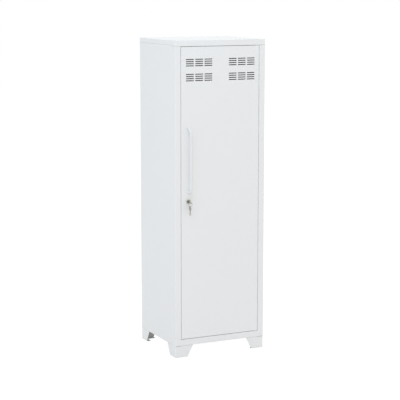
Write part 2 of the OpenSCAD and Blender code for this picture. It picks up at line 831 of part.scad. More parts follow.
module lock_plug() {
    tail_l = cam_y + cam_t - plug_face;
    ease = 0.3;
    color(nickel) to_back([lock_x, plug_face, lock_z]) difference() {
        union() {
            cylinder(d1 = plug_head_d - 2 * ease, d2 = plug_head_d, h = ease);
            translate([0, 0, ease]) cylinder(d = plug_head_d, h = plug_head_t - ease);
            cylinder(d = plug_d, h = cam_y - plug_face);
            translate([-tail_w / 2, -tail_w / 2, 0]) cube([tail_w, tail_w, tail_l]);
        }
        rotate(key_tilt) translate([-blade_w / 2 - key_clear, -key_t / 2 - key_clear, -eps])
            cube([blade_w + 2 * key_clear, key_t + 2 * key_clear, keyway_l + eps]);
        translate([0, 0, tail_l - cam_screw_l - ease])
            cylinder(d = cam_screw_d + fit_clear, h = cam_screw_l + ease + eps);
    }
}

// The cam hangs down from the plug's square tail when the lock is open
module lock_cam() {
    color(zinc) to_back([lock_x, cam_y, lock_z]) linear_extrude(cam_t) difference() {
        union() {
            circle(d = cam_w + 2 * cam_shoulder);
            translate([-cam_w / 2, 0]) square([cam_w, cam_l - cam_w / 2]);
            translate([0, cam_l - cam_w / 2]) circle(d = cam_w);
        }
        square(tail_w + fit_clear, center = true);
    }
}

module cam_screw() {
    color(zinc) to_back([lock_x, cam_y + cam_t, lock_z]) rotate([180, 0, 0])
        pan_screw(cam_screw_d, cam_screw_l);
}

// A flat key: the blade runs to +Y from the shoulder at y = 0, and the bow to -Y
module key_outline() {
    cuts = [1.3, 2.1, 0.9, 1.8];    // depth of each cut
    cut_start = 3.5;
    cut_flat = 0.4;
    cut_mouth = 1.4;
    neck = 1.5;                     // length of the shoulders under the bow
    shoulder = 1;                   // width of each shoulder beside the blade
    shoulder_in = 2.5;              // overlap of the shoulders with the bow
    bow_flat = 2.5;                 // half of the flat at the end of the bow
    bow_round = bow_w / 2 - bow_flat;
    bow_flats = 8;
    tip_l = 3;
    tip_in = 2.4;
    half = blade_w / 2;
    cut_pitch = (blade_l - cut_start - tip_l + eps) / len(cuts);
    difference() {
        union() {
            translate([-bow_w / 2, -bow_l]) rounded_rect(bow_w, bow_l - neck, bow_round, bow_flats);
            translate([-half - shoulder, -neck - shoulder_in]) square([blade_w + 2 * shoulder, neck + shoulder_in]);
            polygon([[-half, -neck], [half, -neck], [half, blade_l - tip_l],
                     [half - tip_in, blade_l], [tip_in - half, blade_l], [-half, blade_l - tip_l]]);
        }
        translate([0, -bow_l + key_hole_in]) circle(r = key_hole_r);
        for (i = [0:len(cuts) - 1])
            translate([half, cut_start + i * cut_pitch])
                polygon([[eps, -cut_mouth], [-cuts[i], -cut_flat], [-cuts[i], cut_flat], [eps, cut_mouth]]);
    }
}

module key_blank() {
    rotate([90, 0, 0]) linear_extrude(key_t, center = true) key_outline();
}

module key() {
    color(nickel) to_back([lock_x, plug_face, lock_z]) rotate(key_tilt) key_blank();
}

module key_ring() {
    color(zinc) translate([lock_x, key_hole_y, ring_z]) rotate([90, 0, 0])
        rotate_extrude() translate([ring_r, 0]) circle(d = ring_wire_d);
}

// The spare key hangs edge-on from the bottom of the ring
module spare_key() {
    color(nickel) translate([lock_x, key_hole_y, spare_hole_z - bow_l + key_hole_in])
        rotate([0, 180, 0]) rotate([0, 0, 90]) key_blank();
}

left_side_panel();
right_side_panel();
back_panel();
top_cap();
header_rail();
base_rail();
floor_tray();
foot_front_left();
foot_front_right();
foot_rear_left();
foot_rear_right();
foot_bolts();
foot_nuts();
cap_screws();
back_screws();
upper_shelf();
lower_shelf();
shelf_brackets();
hanging_rail();
rail_sockets();
lower_hinge_pin();
upper_hinge_pin();
hinge_bushes();
door_panel();
door_stiffener();
door_bumpers();
door_handle();
handle_screws();
lock_barrel();
lock_nut();
lock_plug();
lock_cam();
cam_screw();
key();
key_ring();
spare_key();
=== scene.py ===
"""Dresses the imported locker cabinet: its finishes, fine hardware, stage, lights and camera.

Sizes are in metres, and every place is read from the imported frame.
"""

import logging
import math
from dataclasses import dataclass, field
from enum import Enum

import bmesh
import bpy
from mathutils import Matrix, Vector


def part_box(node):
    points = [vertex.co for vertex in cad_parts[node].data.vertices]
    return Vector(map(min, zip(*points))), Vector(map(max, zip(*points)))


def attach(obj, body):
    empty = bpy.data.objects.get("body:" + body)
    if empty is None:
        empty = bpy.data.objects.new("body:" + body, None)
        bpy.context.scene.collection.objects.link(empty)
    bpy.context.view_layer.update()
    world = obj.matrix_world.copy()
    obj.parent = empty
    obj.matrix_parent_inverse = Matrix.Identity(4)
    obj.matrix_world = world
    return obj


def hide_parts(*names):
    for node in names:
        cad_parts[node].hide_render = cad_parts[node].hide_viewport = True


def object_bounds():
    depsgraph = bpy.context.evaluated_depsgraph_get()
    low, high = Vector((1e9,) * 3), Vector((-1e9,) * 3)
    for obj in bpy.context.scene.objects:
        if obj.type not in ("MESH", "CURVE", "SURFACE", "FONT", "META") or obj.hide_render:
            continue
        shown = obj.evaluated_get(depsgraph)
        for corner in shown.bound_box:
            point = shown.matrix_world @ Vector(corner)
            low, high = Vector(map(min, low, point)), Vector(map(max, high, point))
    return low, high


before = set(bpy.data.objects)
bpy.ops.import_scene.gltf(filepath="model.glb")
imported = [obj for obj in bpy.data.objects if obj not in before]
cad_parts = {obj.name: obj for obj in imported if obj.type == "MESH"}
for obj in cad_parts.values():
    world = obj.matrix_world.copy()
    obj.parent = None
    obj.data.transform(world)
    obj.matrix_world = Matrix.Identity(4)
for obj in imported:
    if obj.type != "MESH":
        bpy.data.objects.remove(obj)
CAD_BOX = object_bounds()
MERGE = 1e-6
THREAD_RIDGE = 0.36  # a thread's ridge, as a share of its pitch
NOISE_FADE = 0.55
CREASE, SOFT_CREASE = 35.0, 60.0  # in degrees
QUARTER_STEP = 22.5
# Inputs and outputs that share their name with others of the node, by number.
MIX_FIRST, MIX_SECOND, MIXED = 6, 7, 2
RANDOM_MOST, RANDOM_NUMBER = 3, 1
UP, DOWN, BACK = Vector((0, 0, 1)), Vector((0, 0, -1)), Vector((0, 1, 0))
WHITE = (1.0, 1.0, 1.0, 1.0)
LOG = logging.getLogger("locker")

Triple = tuple[float, float, float]
Pair = tuple[float, float]
Step = tuple[int, float]
Fixed = tuple[tuple[str, float], ...]
Socket = bpy.types.NodeSocket
Piece = bpy.types.Object
Mesh = bmesh.types.BMesh


class Slot(Enum):
    """The record's material slots."""

    BODY_PAINT = "body_paint"
    ZINC = "zinc"
    CHROME = "chrome"
    NYLON = "nylon"
    RUBBER = "rubber"
    LOCK_METAL = "lock_metal"
    PLUG_METAL = "plug_metal"
    KEY_METAL = "key_metal"
    RING_STEEL = "ring_steel"


class Body(Enum):
    """The rigid bodies that pieces ride on."""

    CARCASS = "carcass"
    DOOR = "door"
    LOCK_PLUG = "lock_plug"
    KEY = "key"
    KEY_RING = "key_ring"
    SPARE_KEY = "spare_key"


class Effect(Enum):
    """The shader node groups that the finishes share."""

    PEEL = "powder_peel"
    DRIFT = "tone_drift"
    FILM = "settled_film"
    HAIRLINES = "hairline_marks"
    TURNING = "turning_rings"
    SPANGLE = "zinc_spangle"
    RUB = "rubbed_edges"


class Reading(Enum):
    """Which output of an effect a finish reads."""

    HEIGHT = "Height"
    MASK = "Mask"


class Cut(Enum):
    """What a cutting tool takes off."""

    INSIDE = "DIFFERENCE"
    OUTSIDE = "INTERSECT"


class Sheet:
    """A node tree being written, with short calls that add and join nodes."""

    def __init__(self, tree: bpy.types.NodeTree) -> None:
        """Keeps the shader, group or geometry tree to write in."""
        self.tree = tree

    def feed(self, node: bpy.types.Node, values: dict) -> None:
        """Feeds a node.

        Args:
            node: The node.
            values: What each input gets, by its name or number: a value or another node's socket.
        """
        for key, value in values.items():
            if isinstance(value, Socket):
                self.tree.links.new(value, node.inputs[key])
            else:
                node.inputs[key].default_value = value

    def add(self, kind: str, values: dict | None = None, **settings: object) -> bpy.types.Node:
        """Adds a node.

        Args:
            kind: The node's type name.
            values: What it is fed.
            settings: The node's own properties.

        Returns:
            The node.
        """
        node = self.tree.nodes.new(kind)
        for name, value in settings.items():
            setattr(node, name, value)
        self.feed(node, values or {})
        return node

    def out(self, kind: str, values: dict | None = None, **settings: object) -> Socket:
        """Adds a node as add does, and returns its first output."""
        return self.add(kind, values, **settings).outputs[0]

    def math(self, operation: str, first: object, second: object = 0.0, clamp: bool = False) -> Socket:
        """Adds a Math node on two numbers or sockets, and keeps it between 0 and 1 if clamped."""
        values = {0: first, 1: second}
        return self.out("ShaderNodeMath", values, operation=operation, use_clamp=clamp)

    def spread(self, value: object, low: float, high: float) -> Socket:
        """Maps a value from between 0 and 1 to between low and high."""
        return self.math("ADD", self.math("MULTIPLY", value, high - low), low)

    def blend(self, mask: Socket, first: object, second: object) -> Socket:
        """Mixes two colours, where a mask of 0 keeps the first and 1 the second."""
        values = {0: mask, MIX_FIRST: first, MIX_SECOND: second}
        return self.add("ShaderNodeMix", values, data_type="RGBA").outputs[MIXED]


class EffectSheet(Sheet):
    """A shader node group being written, which puts out only colours, masks and heights."""

    def __init__(self, effect: Effect, inputs: dict[str, float | Triple]) -> None:
        """Starts the group.

        Args:
            effect: Which effect it makes.
            inputs: Each input's first value by its name: a number, or three for a colour.
        """
        super().__init__(bpy.data.node_groups.new(effect.value, "ShaderNodeTree"))
        for key, value in inputs.items():
            colour = isinstance(value, tuple)
            kind = "NodeSocketColor" if colour else "NodeSocketFloat"
            socket = self.tree.interface.new_socket(key, in_out="INPUT", socket_type=kind)
            socket.default_value = (*value, 1.0) if colour else value
        self.given = self.add("NodeGroupInput").outputs
        self.place = self.add("ShaderNodeTexCoord").outputs["Object"]

    def noise(self, scale: object, octaves: float, place: Socket | None = None) -> Socket:
        """Adds a noise of so many features to the metre, with so many finer ones over it."""
        values = {0: place or self.place, "Scale": scale, "Detail": octaves, "Roughness": NOISE_FADE}
        return self.out("ShaderNodeTexNoise", values)

    def toned(self, value: Socket, gain: float) -> Socket:
        """Makes the given colour lighter and darker as a value swings about one half.

        Args:
            value: The value.
            gain: What the given amount is multiplied by.

        Returns:
            The toned colour.
        """
        swing = self.math("MULTIPLY", self.math("SUBTRACT", value, 0.5), self.given["Amount"])
        factor = self.math("ADD", self.math("MULTIPLY", swing, gain), 1.0)
        values = {0: self.given["Colour"], "Scale": factor}
        return self.out("ShaderNodeVectorMath", values, operation="SCALE")

    def give(self, **results: Socket) -> None:
        """Makes the group's outputs.

        Args:
            results: What each output carries, by its name.
        """
        for name in results:
            kind = "NodeSocketColor" if name == "Colour" else "NodeSocketFloat"
            self.tree.interface.new_socket(name, in_out="OUTPUT", socket_type=kind)
        self.add("NodeGroupOutput", results)


class Effects:
    """Writes each shared shader group once."""

    def __init__(self) -> None:
        """Writes every group."""
        for write in (self._peel, self._drift, self._film, self._hairlines, self._turning,
                      self._spangle, self._rub):
            write()

    @staticmethod
    def _peel() -> None:
        """The fine orange peel of a baked powder coat, as a height."""
        group = EffectSheet(Effect.PEEL, {"Grain": 900.0, "Waves": 60.0, "Wave Share": 0.5})
        grain = group.noise(group.given["Grain"], 2.0)
        waves = group.noise(group.given["Waves"], 1.0)
        share = group.math("MULTIPLY", waves, group.given["Wave Share"])
        group.give(Height=group.math("ADD", grain, share))

    @staticmethod
    def _drift() -> None:
        """A colour that drifts a little lighter and darker over the surface."""
        group = EffectSheet(Effect.DRIFT, {"Colour": (0.8, 0.8, 0.8), "Size": 4.0, "Amount": 0.02})
        group.give(Colour=group.toned(group.noise(group.given["Size"], 3.0), gain=2.0))

    @staticmethod
    def _film() -> None:
        """The thin dust that settles on what faces up, as a mask."""
        group = EffectSheet(Effect.FILM, {"Amount": 0.2, "Patch Size": 22.0})
        falloff = 3.0
        normal = group.add("ShaderNodeNewGeometry").outputs["Normal"]
        upward = group.add("ShaderNodeSeparateXYZ", {0: normal}).outputs["Z"]
        level = group.math("POWER", group.math("MAXIMUM", upward, 0.0), falloff)
        dust = group.math("MULTIPLY", level, group.noise(group.given["Patch Size"], 4.0))
        group.give(Mask=group.math("MULTIPLY", dust, group.given["Amount"], clamp=True))

    @staticmethod
    def _hairlines() -> None:
        """Fine straight marks along one axis, as a height and a mask."""
        inputs = {"Across X": 4000.0, "Across Y": 4000.0, "Across Z": 60.0, "Sparse": 0.58}
        group = EffectSheet(Effect.HAIRLINES, inputs)
        contrast = 8.0
        axes = {i: group.given[f"Across {axis}"] for i, axis in enumerate("XYZ")}
        stretch = group.out("ShaderNodeCombineXYZ", axes)
        place = group.out("ShaderNodeVectorMath", {0: group.place, 1: stretch}, operation="MULTIPLY")
        marks = group.noise(1.0, 2.0, place)
        over = group.math("SUBTRACT", marks, group.given["Sparse"])
        group.give(Height=marks, Mask=group.math("MULTIPLY", over, contrast, clamp=True))

    @staticmethod
    def _turning() -> None:
        """Rings left by a lathe about an axis along Y, as a height."""
        group = EffectSheet(Effect.TURNING, {"Centre X": 0.0, "Centre Z": 0.0, "Rings": 16000.0})
        apart = group.add("ShaderNodeSeparateXYZ", {0: group.place}).outputs
        squares = []
        for axis in "XZ":
            across = group.math("SUBTRACT", apart[axis], group.given[f"Centre {axis}"])
            squares.append(group.math("POWER", across, 2.0))
        radius = group.math("SQRT", group.math("ADD", *squares))
        ring = group.math("SINE", group.math("MULTIPLY", radius, group.given["Rings"]))
        group.give(Height=group.spread(ring, 0.5, 1.0))

    @staticmethod
    def _spangle() -> None:
        """A colour broken into the crystals of zinc plate, each a little lighter or darker."""
        inputs = {"Colour": (0.6, 0.6, 0.6), "Crystals": 700.0, "Amount": 0.15}
        group = EffectSheet(Effect.SPANGLE, inputs)
        values = {"Vector": group.place, "Scale": group.given["Crystals"]}
        cells = group.add("ShaderNodeTexVoronoi", values)
        grey = group.out("ShaderNodeRGBToBW", {0: cells.outputs["Color"]})
        group.give(Colour=group.toned(grey, gain=1.0))

    @staticmethod
    def _rub() -> None:
        """Where edges are rubbed bright, as a mask."""
        group = EffectSheet(Effect.RUB, {"Amount": 1.0, "Breakup": 1200.0})
        flat, sharpness, gain = 0.52, 12.0, 1.6
        convex = group.add("ShaderNodeNewGeometry").outputs["Pointiness"]
        edge = group.math("MULTIPLY", group.math("SUBTRACT", convex, flat), sharpness, clamp=True)
        broken = group.math("MULTIPLY", edge, group.noise(group.given["Breakup"], 3.0))
        rubbed = group.math("MULTIPLY", broken, gain)
        group.give(Mask=group.math("MULTIPLY", rubbed, group.given["Amount"], clamp=True))


@dataclass(frozen=True)
class Mark:
    """One use of a shared effect, with its own inputs."""

    effect: Effect
    inputs: dict[str, float] = field(default_factory=dict)

    def place(self, sheet: Sheet, **more: object) -> bpy.types.NodeOutputs:
        """Places the effect's group in a material and returns its outputs."""
        group = bpy.data.node_groups[self.effect.value]
        return sheet.add("ShaderNodeGroup", {**self.inputs, **more}, node_tree=group).outputs


@dataclass(frozen=True)
class Finish:
    """A finish: a toned colour, a second colour where it is worn or dusty, and a fine relief."""

    name: str
    colour: Triple
    tone: Mark
    relief: Mark
    roughness: Pair
    depth: float
    wear: Mark | None = None
    worn: Triple = (0.0, 0.0, 0.0)
    rough_by: Reading = Reading.HEIGHT
    bump_by: Reading = Reading.HEIGHT
    sockets: Fixed = (("Metallic", 1.0),)

    def build(self) -> bpy.types.Material:
        """Writes the finish's nodes.

        Returns:
            The material.
        """
        material = bpy.data.materials.new(self.name)
        material.use_nodes = True
        sheet = Sheet(material.node_tree)
        base = self.tone.place(sheet, Colour=(*self.colour, 1.0))["Colour"]
        if self.wear:
            base = sheet.blend(self.wear.place(sheet)["Mask"], base, (*self.worn, 1.0))
        relief = self.relief.place(sheet)
        values = {"Height": relief[self.bump_by.value], "Distance": self.depth, "Strength": 1.0}
        bump = sheet.out("ShaderNodeBump", values)
        rough = sheet.spread(relief[self.rough_by.value], *self.roughness)
        values = {"Base Color": base, "Roughness": rough, "Normal": bump, **dict(self.sockets)}
        sheet.feed(material.node_tree.nodes["Principled BSDF"], values)
        return material


@dataclass(frozen=True)
class PowderCoat(Finish):
    """Baked white powder on sheet steel, with a fine peel and a little settled dust."""

    name: str = "white_powder_coat"
    colour: Triple = (0.816, 0.812, 0.812)
    tone: Mark = Mark(Effect.DRIFT, {"Size": 3.0, "Amount": 0.012})
    relief: Mark = Mark(Effect.PEEL, {"Grain": 1200.0, "Waves": 1200.0 / 14, "Wave Share": 0.6})
    roughness: Pair = (0.37, 0.49)
    depth: float = 0.00003
    wear: Mark = Mark(Effect.FILM, {"Amount": 0.25, "Patch Size": 14.0})
    worn: Triple = (0.80, 0.80, 0.78)
    sockets: Fixed = (("IOR", 1.5), ("Coat Weight", 0.12), ("Coat Roughness", 0.2))


@dataclass(frozen=True)
class ZincPlate(Finish):
    """Bright zinc plate on steel fasteners."""

    name: str = "bright_zinc_plate"
    colour: Triple = (0.62, 0.63, 0.64)
    tone: Mark = Mark(Effect.SPANGLE, {"Crystals": 900.0, "Amount": 0.22})
    relief: Mark = Mark(Effect.HAIRLINES, {"Across Z": 900.0})
    roughness: Pair = (0.22, 0.42)
    depth: float = 0.000004
    wear: Mark = Mark(Effect.RUB, {"Amount": 0.7})
    worn: Triple = (0.78, 0.78, 0.76)


@dataclass(frozen=True)
class TurnedNickel(Finish):
    """Nickel plate on turned lock parts, with lathe rings about the lock's axis."""

    name: str = "turned_bright_nickel"
    colour: Triple = (0.62, 0.62, 0.6)
    tone: Mark = Mark(Effect.DRIFT, {"Size": 180.0, "Amount": 0.12})
    relief: Mark = Mark(Effect.TURNING)
    roughness: Pair = (0.18, 0.34)
    depth: float = 0.000006
    wear: Mark = Mark(Effect.RUB, {"Amount": 0.8, "Breakup": 900.0})
    worn: Triple = (0.7, 0.69, 0.64)


@dataclass(frozen=True)
class WornPlate(Finish):
    """Thin nickel plate on keys and wire, rubbed through to warmer metal at the edges."""

    name: str = "worn_key_plate"
    colour: Triple = (0.44, 0.44, 0.41)
    tone: Mark = Mark(Effect.DRIFT, {"Size": 240.0, "Amount": 0.1})
    relief: Mark = Mark(Effect.HAIRLINES, {"Across X": 9000.0, "Across Y": 2600.0, "Across Z": 500.0})
    roughness: Pair = (0.3, 0.425)
    depth: float = 0.000005
    wear: Mark = Mark(Effect.RUB, {"Amount": 1.0, "Breakup": 1500.0})
    worn: Triple = (0.6, 0.5, 0.32)
    rough_by: Reading = Reading.MASK
    bump_by: Reading = Reading.MASK


@dataclass(frozen=True)
class PolishedChrome(Finish):
    """Bright chrome on the hanging rail, with faint smears where hangers run."""

    name: str = "polished_chrome"
    colour: Triple = (0.72, 0.73, 0.74)
    tone: Mark = Mark(Effect.DRIFT, {"Size": 40.0, "Amount": 0.03})
    relief: Mark = Mark(
        Effect.HAIRLINES, {"Across X": 30.0, "Across Y": 900.0, "Across Z": 900.0, "Sparse": 0.5},
    )
    roughness: Pair = (0.09, 0.25)
    depth: float = 0.000003
    rough_by: Reading = Reading.MASK


@dataclass(frozen=True)
class Moulding(Finish):
    """A moulded plastic or rubber with the fine grain of its mould."""

    tone: Mark = Mark(Effect.DRIFT, {"Size": 320.0, "Amount": 0.04})
    relief: Mark = Mark(Effect.PEEL, {"Grain": 2500.0, "Waves": 312.5, "Wave Share": 0.4})
    roughness: Pair = (0.37, 0.47)
    depth: float = 0.00002
    sockets: Fixed = (("IOR", 1.49),)


class Palette:
    """Every finish of the cabinet, built once and looked up by the record's slot."""

    def __init__(self) -> None:
        """Builds the materials."""
        Effects()
        axis = centre("lock_barrel")
        rings = Mark(Effect.TURNING, {"Centre X": axis.x, "Centre Z": axis.z, "Rings": 20000.0})
        bloom = Mark(Effect.DRIFT, {"Size": 320.0, "Amount": 0.25})
        finishes = {
            Slot.BODY_PAINT: PowderCoat(),
            Slot.ZINC: ZincPlate(),
            Slot.CHROME: PolishedChrome(),
            Slot.NYLON: Moulding("natural_nylon", (0.78, 0.77, 0.72)),
            Slot.RUBBER: Moulding("soft_black_rubber", (0.025, 0.025, 0.027), bloom,
                                  roughness=(0.67, 0.77)),
            Slot.LOCK_METAL: TurnedNickel(relief=rings),
            # The plug's metal is given a dark base colour, with lighter edges.
            Slot.PLUG_METAL: TurnedNickel("dark_plug_nickel", (0.2, 0.205, 0.185), relief=rings,
                                          roughness=(0.3, 0.46), worn=(0.4, 0.4, 0.36)),
            Slot.KEY_METAL: WornPlate(),
            Slot.RING_STEEL: WornPlate("spring_wire", roughness=(0.3, 0.375), depth=0.000003,
                                       worn=(0.62, 0.6, 0.55)),
        }
        self.made = {slot: finish.build() for slot, finish in finishes.items()}
        # A darker copy of the white powder coat, as painted shade on the handle bar.
        self.bar_paint_painted_shade = PowderCoat("bar_coat_painted_shade", (0.768, 0.765, 0.765)).build()

    def dress(self, slot: Slot, *nodes: str) -> None:
        """Gives CAD nodes their finish.

        Args:
            slot: Which finish.
            nodes: The nodes' names.
        """
        for node in nodes:
            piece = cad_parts[node]
            if not piece.data.materials:
                piece.data.materials.append(None)
            for place in piece.material_slots:
                place.material = self.made[slot]
            LOG.info("dressed %s with %s", node, slot.value)


def lathe(profile: list[Pair], steps: int, closed: bool = False) -> Mesh:
    """Turns an outline about Z.

    Args:
        profile: Points as radius and height, in order.
        steps: Faces round the axis.
        closed: Whether the outline's last point joins its first, as on a ring.

    Returns:
        The turned mesh, with its faces outward.
    """
    mesh = bmesh.new()
    points = [mesh.verts.new((radius, 0.0, height)) for radius, height in profile]
    pairs = list(zip(points, points[1:])) + ([(points[-1], points[0])] if closed else [])
    edges = [mesh.edges.new(pair) for pair in pairs]
    bmesh.ops.spin(mesh, geom=points + edges, cent=(0, 0, 0), axis=UP, angle=math.tau, steps=steps)
    bmesh.ops.remove_doubles(mesh, verts=mesh.verts, dist=MERGE)
    bmesh.ops.recalc_face_normals(mesh, faces=mesh.faces)
    return mesh


def arc(middle: Pair, radii: Pair, end: float, step: float) -> list[Pair]:
    """Gives the points of a round or oval arc from level with its middle, up to an end in degrees."""
    turns = [math.radians(step * i) for i in range(round(end / step) + 1)]
    return [(middle[0] + radii[0] * math.cos(a), middle[1] + radii[1] * math.sin(a)) for a in turns]


def linked(name: str, data: bpy.types.ID) -> Piece:
    """Makes an object and links it to the scene.

    Args:
        name: The object's name.
        data: Its mesh, light or camera.

    Returns:
        The object.
    """
    piece = bpy.data.objects.new(name, data)
    bpy.context.scene.collection.objects.link(piece)
    return piece


def as_piece(name: str, mesh: Mesh, smooth: float = CREASE) -> Piece:
    """Makes an object of a mesh that was written.

    Args:
        name: The object's name.
        mesh: The mesh, which is freed.
        smooth: Edges flatter than this many degrees are shaded smooth.

    Returns:
        The object.
    """
    data = bpy.data.meshes.new(name)
    mesh.to_mesh(data)
    mesh.free()
    piece = linked(name, data)
    shade(piece, smooth)
    return piece


def merged(node: str) -> Mesh:
    """Copies a CAD node's mesh, with its loose triangles joined.

    Args:
        node: The CAD node.

    Returns:
        The copy.
    """
    mesh = bmesh.new()
    mesh.from_mesh(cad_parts[node].data)
    bmesh.ops.remove_doubles(mesh, verts=mesh.verts, dist=MERGE)
    return mesh


def centre(node: str) -> Vector:
    """Finds the middle of a CAD node's box."""
    low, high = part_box(node)
    return (low + high) / 2


def shade(piece: Piece, angle: float) -> None:
    """Shades a piece smooth, but for edges sharper than an angle in degrees."""
    piece.data.shade_smooth()
    piece.data.set_sharp_from_angle(angle=math.radians(angle))


def absorb(mesh: Mesh, piece: Piece) -> None:
    """Adds an object's mesh to one being written, and removes the object."""
    mesh.from_mesh(piece.data)
    bpy.data.objects.remove(piece)


def settle(piece: Piece) -> None:
    """Turns a piece's modifiers into its own mesh.

    Args:
        piece: The piece.
    """
    graph = bpy.context.evaluated_depsgraph_get()
    data = bpy.data.meshes.new_from_object(piece.evaluated_get(graph), depsgraph=graph)
    piece.modifiers.clear()
    piece.data = data


def carve(piece: Piece, tool: Piece, cut: Cut = Cut.INSIDE) -> None:
    """Cuts a piece with a tool, and removes the tool.

    Args:
        piece: The piece to cut.
        tool: The closed mesh that cuts it.
        cut: What is taken off.
    """
    carving = piece.modifiers.new("carve", "BOOLEAN")
    carving.operation = cut.value
    carving.solver = "EXACT"
    carving.object = tool
    settle(piece)
    bpy.data.objects.remove(tool)


def block(name: str, low: Vector, high: Vector, place: Matrix) -> Piece:
    """Makes a plain cutting block.

    Args:
        name: The object's name.
        low: Its lowest corner.
        high: Its highest corner.
        place: A matrix that its vertices are moved by.

    Returns:
        The block.
    """
    mesh = bmesh.new()
    bmesh.ops.create_cube(mesh, size=1.0)
    size = Matrix.Diagonal((*(high - low), 1.0))
    mesh.transform(place @ Matrix.Translation((low + high) / 2) @ size)
    return as_piece(name, mesh)


def spun(degrees: float, axis: str) -> Matrix:
    """Gives a turn about an axis of the origin."""
    return Matrix.Rotation(math.radians(degrees), 4, axis)


def soften(node: str, name: str, width: float) -> Piece:
    """Copies a CAD node with its edges eased, as tumbling or plating leaves them.

    Args:
        node: The CAD node.
        name: The copy's name.
        width: How wide the eased edges are.

    Returns:
        The copy, which isn't riding on anything yet.
    """
    flat, sharp, crease = math.radians(0.5), math.radians(32), 40
    mesh = merged(node)
    bmesh.ops.dissolve_limit(mesh, angle_limit=flat, verts=mesh.verts, edges=mesh.edges)
    bmesh.ops.recalc_face_normals(mesh, faces=mesh.faces)
    piece = as_piece(name, mesh)
    ease = piece.modifiers.new("ease", "BEVEL")
    ease.width = width
    ease.segments = 2
    ease.limit_method = "ANGLE"
    ease.angle_limit = sharp
    settle(piece)
    shade(piece, crease)
    return piece


def solids(node: str) -> list[tuple[Vector, Vector]]:
    """Finds the box of each separate solid in a CAD node.

    Args:
        node: The CAD node.

    Returns:
        The lowest and highest corner of each, from the bottom up.
    """
    mesh = merged(node)
    left = set(mesh.verts)
    boxes = []
    while left:
        group, edge = set(), [left.pop()]
        while edge:
            vert = edge.pop()
            group.add(vert)
            near = {e.other_vert(vert) for e in vert.link_edges} & left
            left -= near
            edge.extend(near)
        spans = [[v.co[i] for v in group] for i in range(3)]
        boxes.append((Vector(map(min, spans)), Vector(map(max, spans))))
    mesh.free()
    return sorted(boxes, key=lambda b: tuple(round(c, 5) for c in (b[0].z, b[0].x, b[0].y)))


class GrownTree(Sheet):
    """A Geometry Nodes tree with named inputs, whose result is turned into a plain mesh."""

    def __init__(self, name: str) -> None:
        """Starts the tree.

        Args:
            name: The tree's name.
        """
        super().__init__(bpy.data.node_groups.new(name, "GeometryNodeTree"))
        self.given = self.add("NodeGroupInput")
        self.base, self.finish = self.size("Base", "Geometry"), self.size("Finish", "Material")
        self.tree.interface.new_socket("Geometry", in_out="OUTPUT", socket_type="NodeSocketGeometry")

    def size(self, name: str, kind: str = "Float") -> Socket:
        """Adds a named input of a kind and returns its socket in the tree."""
        self.tree.interface.new_socket(name, in_out="INPUT", socket_type=f"NodeSocket{kind}")
        return self.given.outputs[name]

    def sweep(self, curve: Socket, sides: object, radius: object) -> Socket:
        """Sweeps a round section along a curve, with closed ends."""
        ring = self.out("GeometryNodeCurvePrimitiveCircle", {"Resolution": sides, "Radius": radius})
        return self.out("GeometryNodeCurveToMesh", {0: curve, "Profile Curve": ring, "Fill Caps": True})

    def close(self, shape: Socket) -> None:
        """Realizes a shape's instances, sets the finish and gives the shape out.

        Args:
            shape: The shape.
        """
        real = self.out("GeometryNodeRealizeInstances", {"Geometry": shape})
        done = self.out("GeometryNodeSetMaterial", {"Geometry": real, "Material": self.finish})
        self.add("NodeGroupOutput", {"Geometry": done})

    def grow(self, name: str, base: bpy.types.Mesh, sizes: dict[str, object]) -> Piece:
        """Runs the tree and keeps its result as a plain mesh.

        Args:
            name: The new piece's name.
            base: The mesh that the tree starts from.
            sizes: Each named input's value.

        Returns:
            The piece.
        """
        piece = linked(name, base)
        grown = piece.modifiers.new("grow", "NODES")
        grown.node_group = self.tree
        keys = {i.name: i.identifier for i in self.tree.interface.items_tree if i.in_out == "INPUT"}
        for key, value in sizes.items():
            grown[keys[key]] = value
        settle(piece)
        return piece


def dots(name: str, places: list[Vector], aims: list[Vector]) -> bpy.types.Mesh:
    """Makes a mesh of loose points that each carry a direction.

    Args:
        name: The mesh's name.
        places: The points.
        aims: Each point's direction.

    Returns:
        The mesh.
    """
    mesh = bpy.data.meshes.new(name)
    mesh.from_pydata([tuple(p) for p in places], [], [])
    carried = mesh.attributes.new("aim", "FLOAT_VECTOR", "POINT")
    carried.data.foreach_set("vector", [c for aim in aims for c in aim])
    return mesh


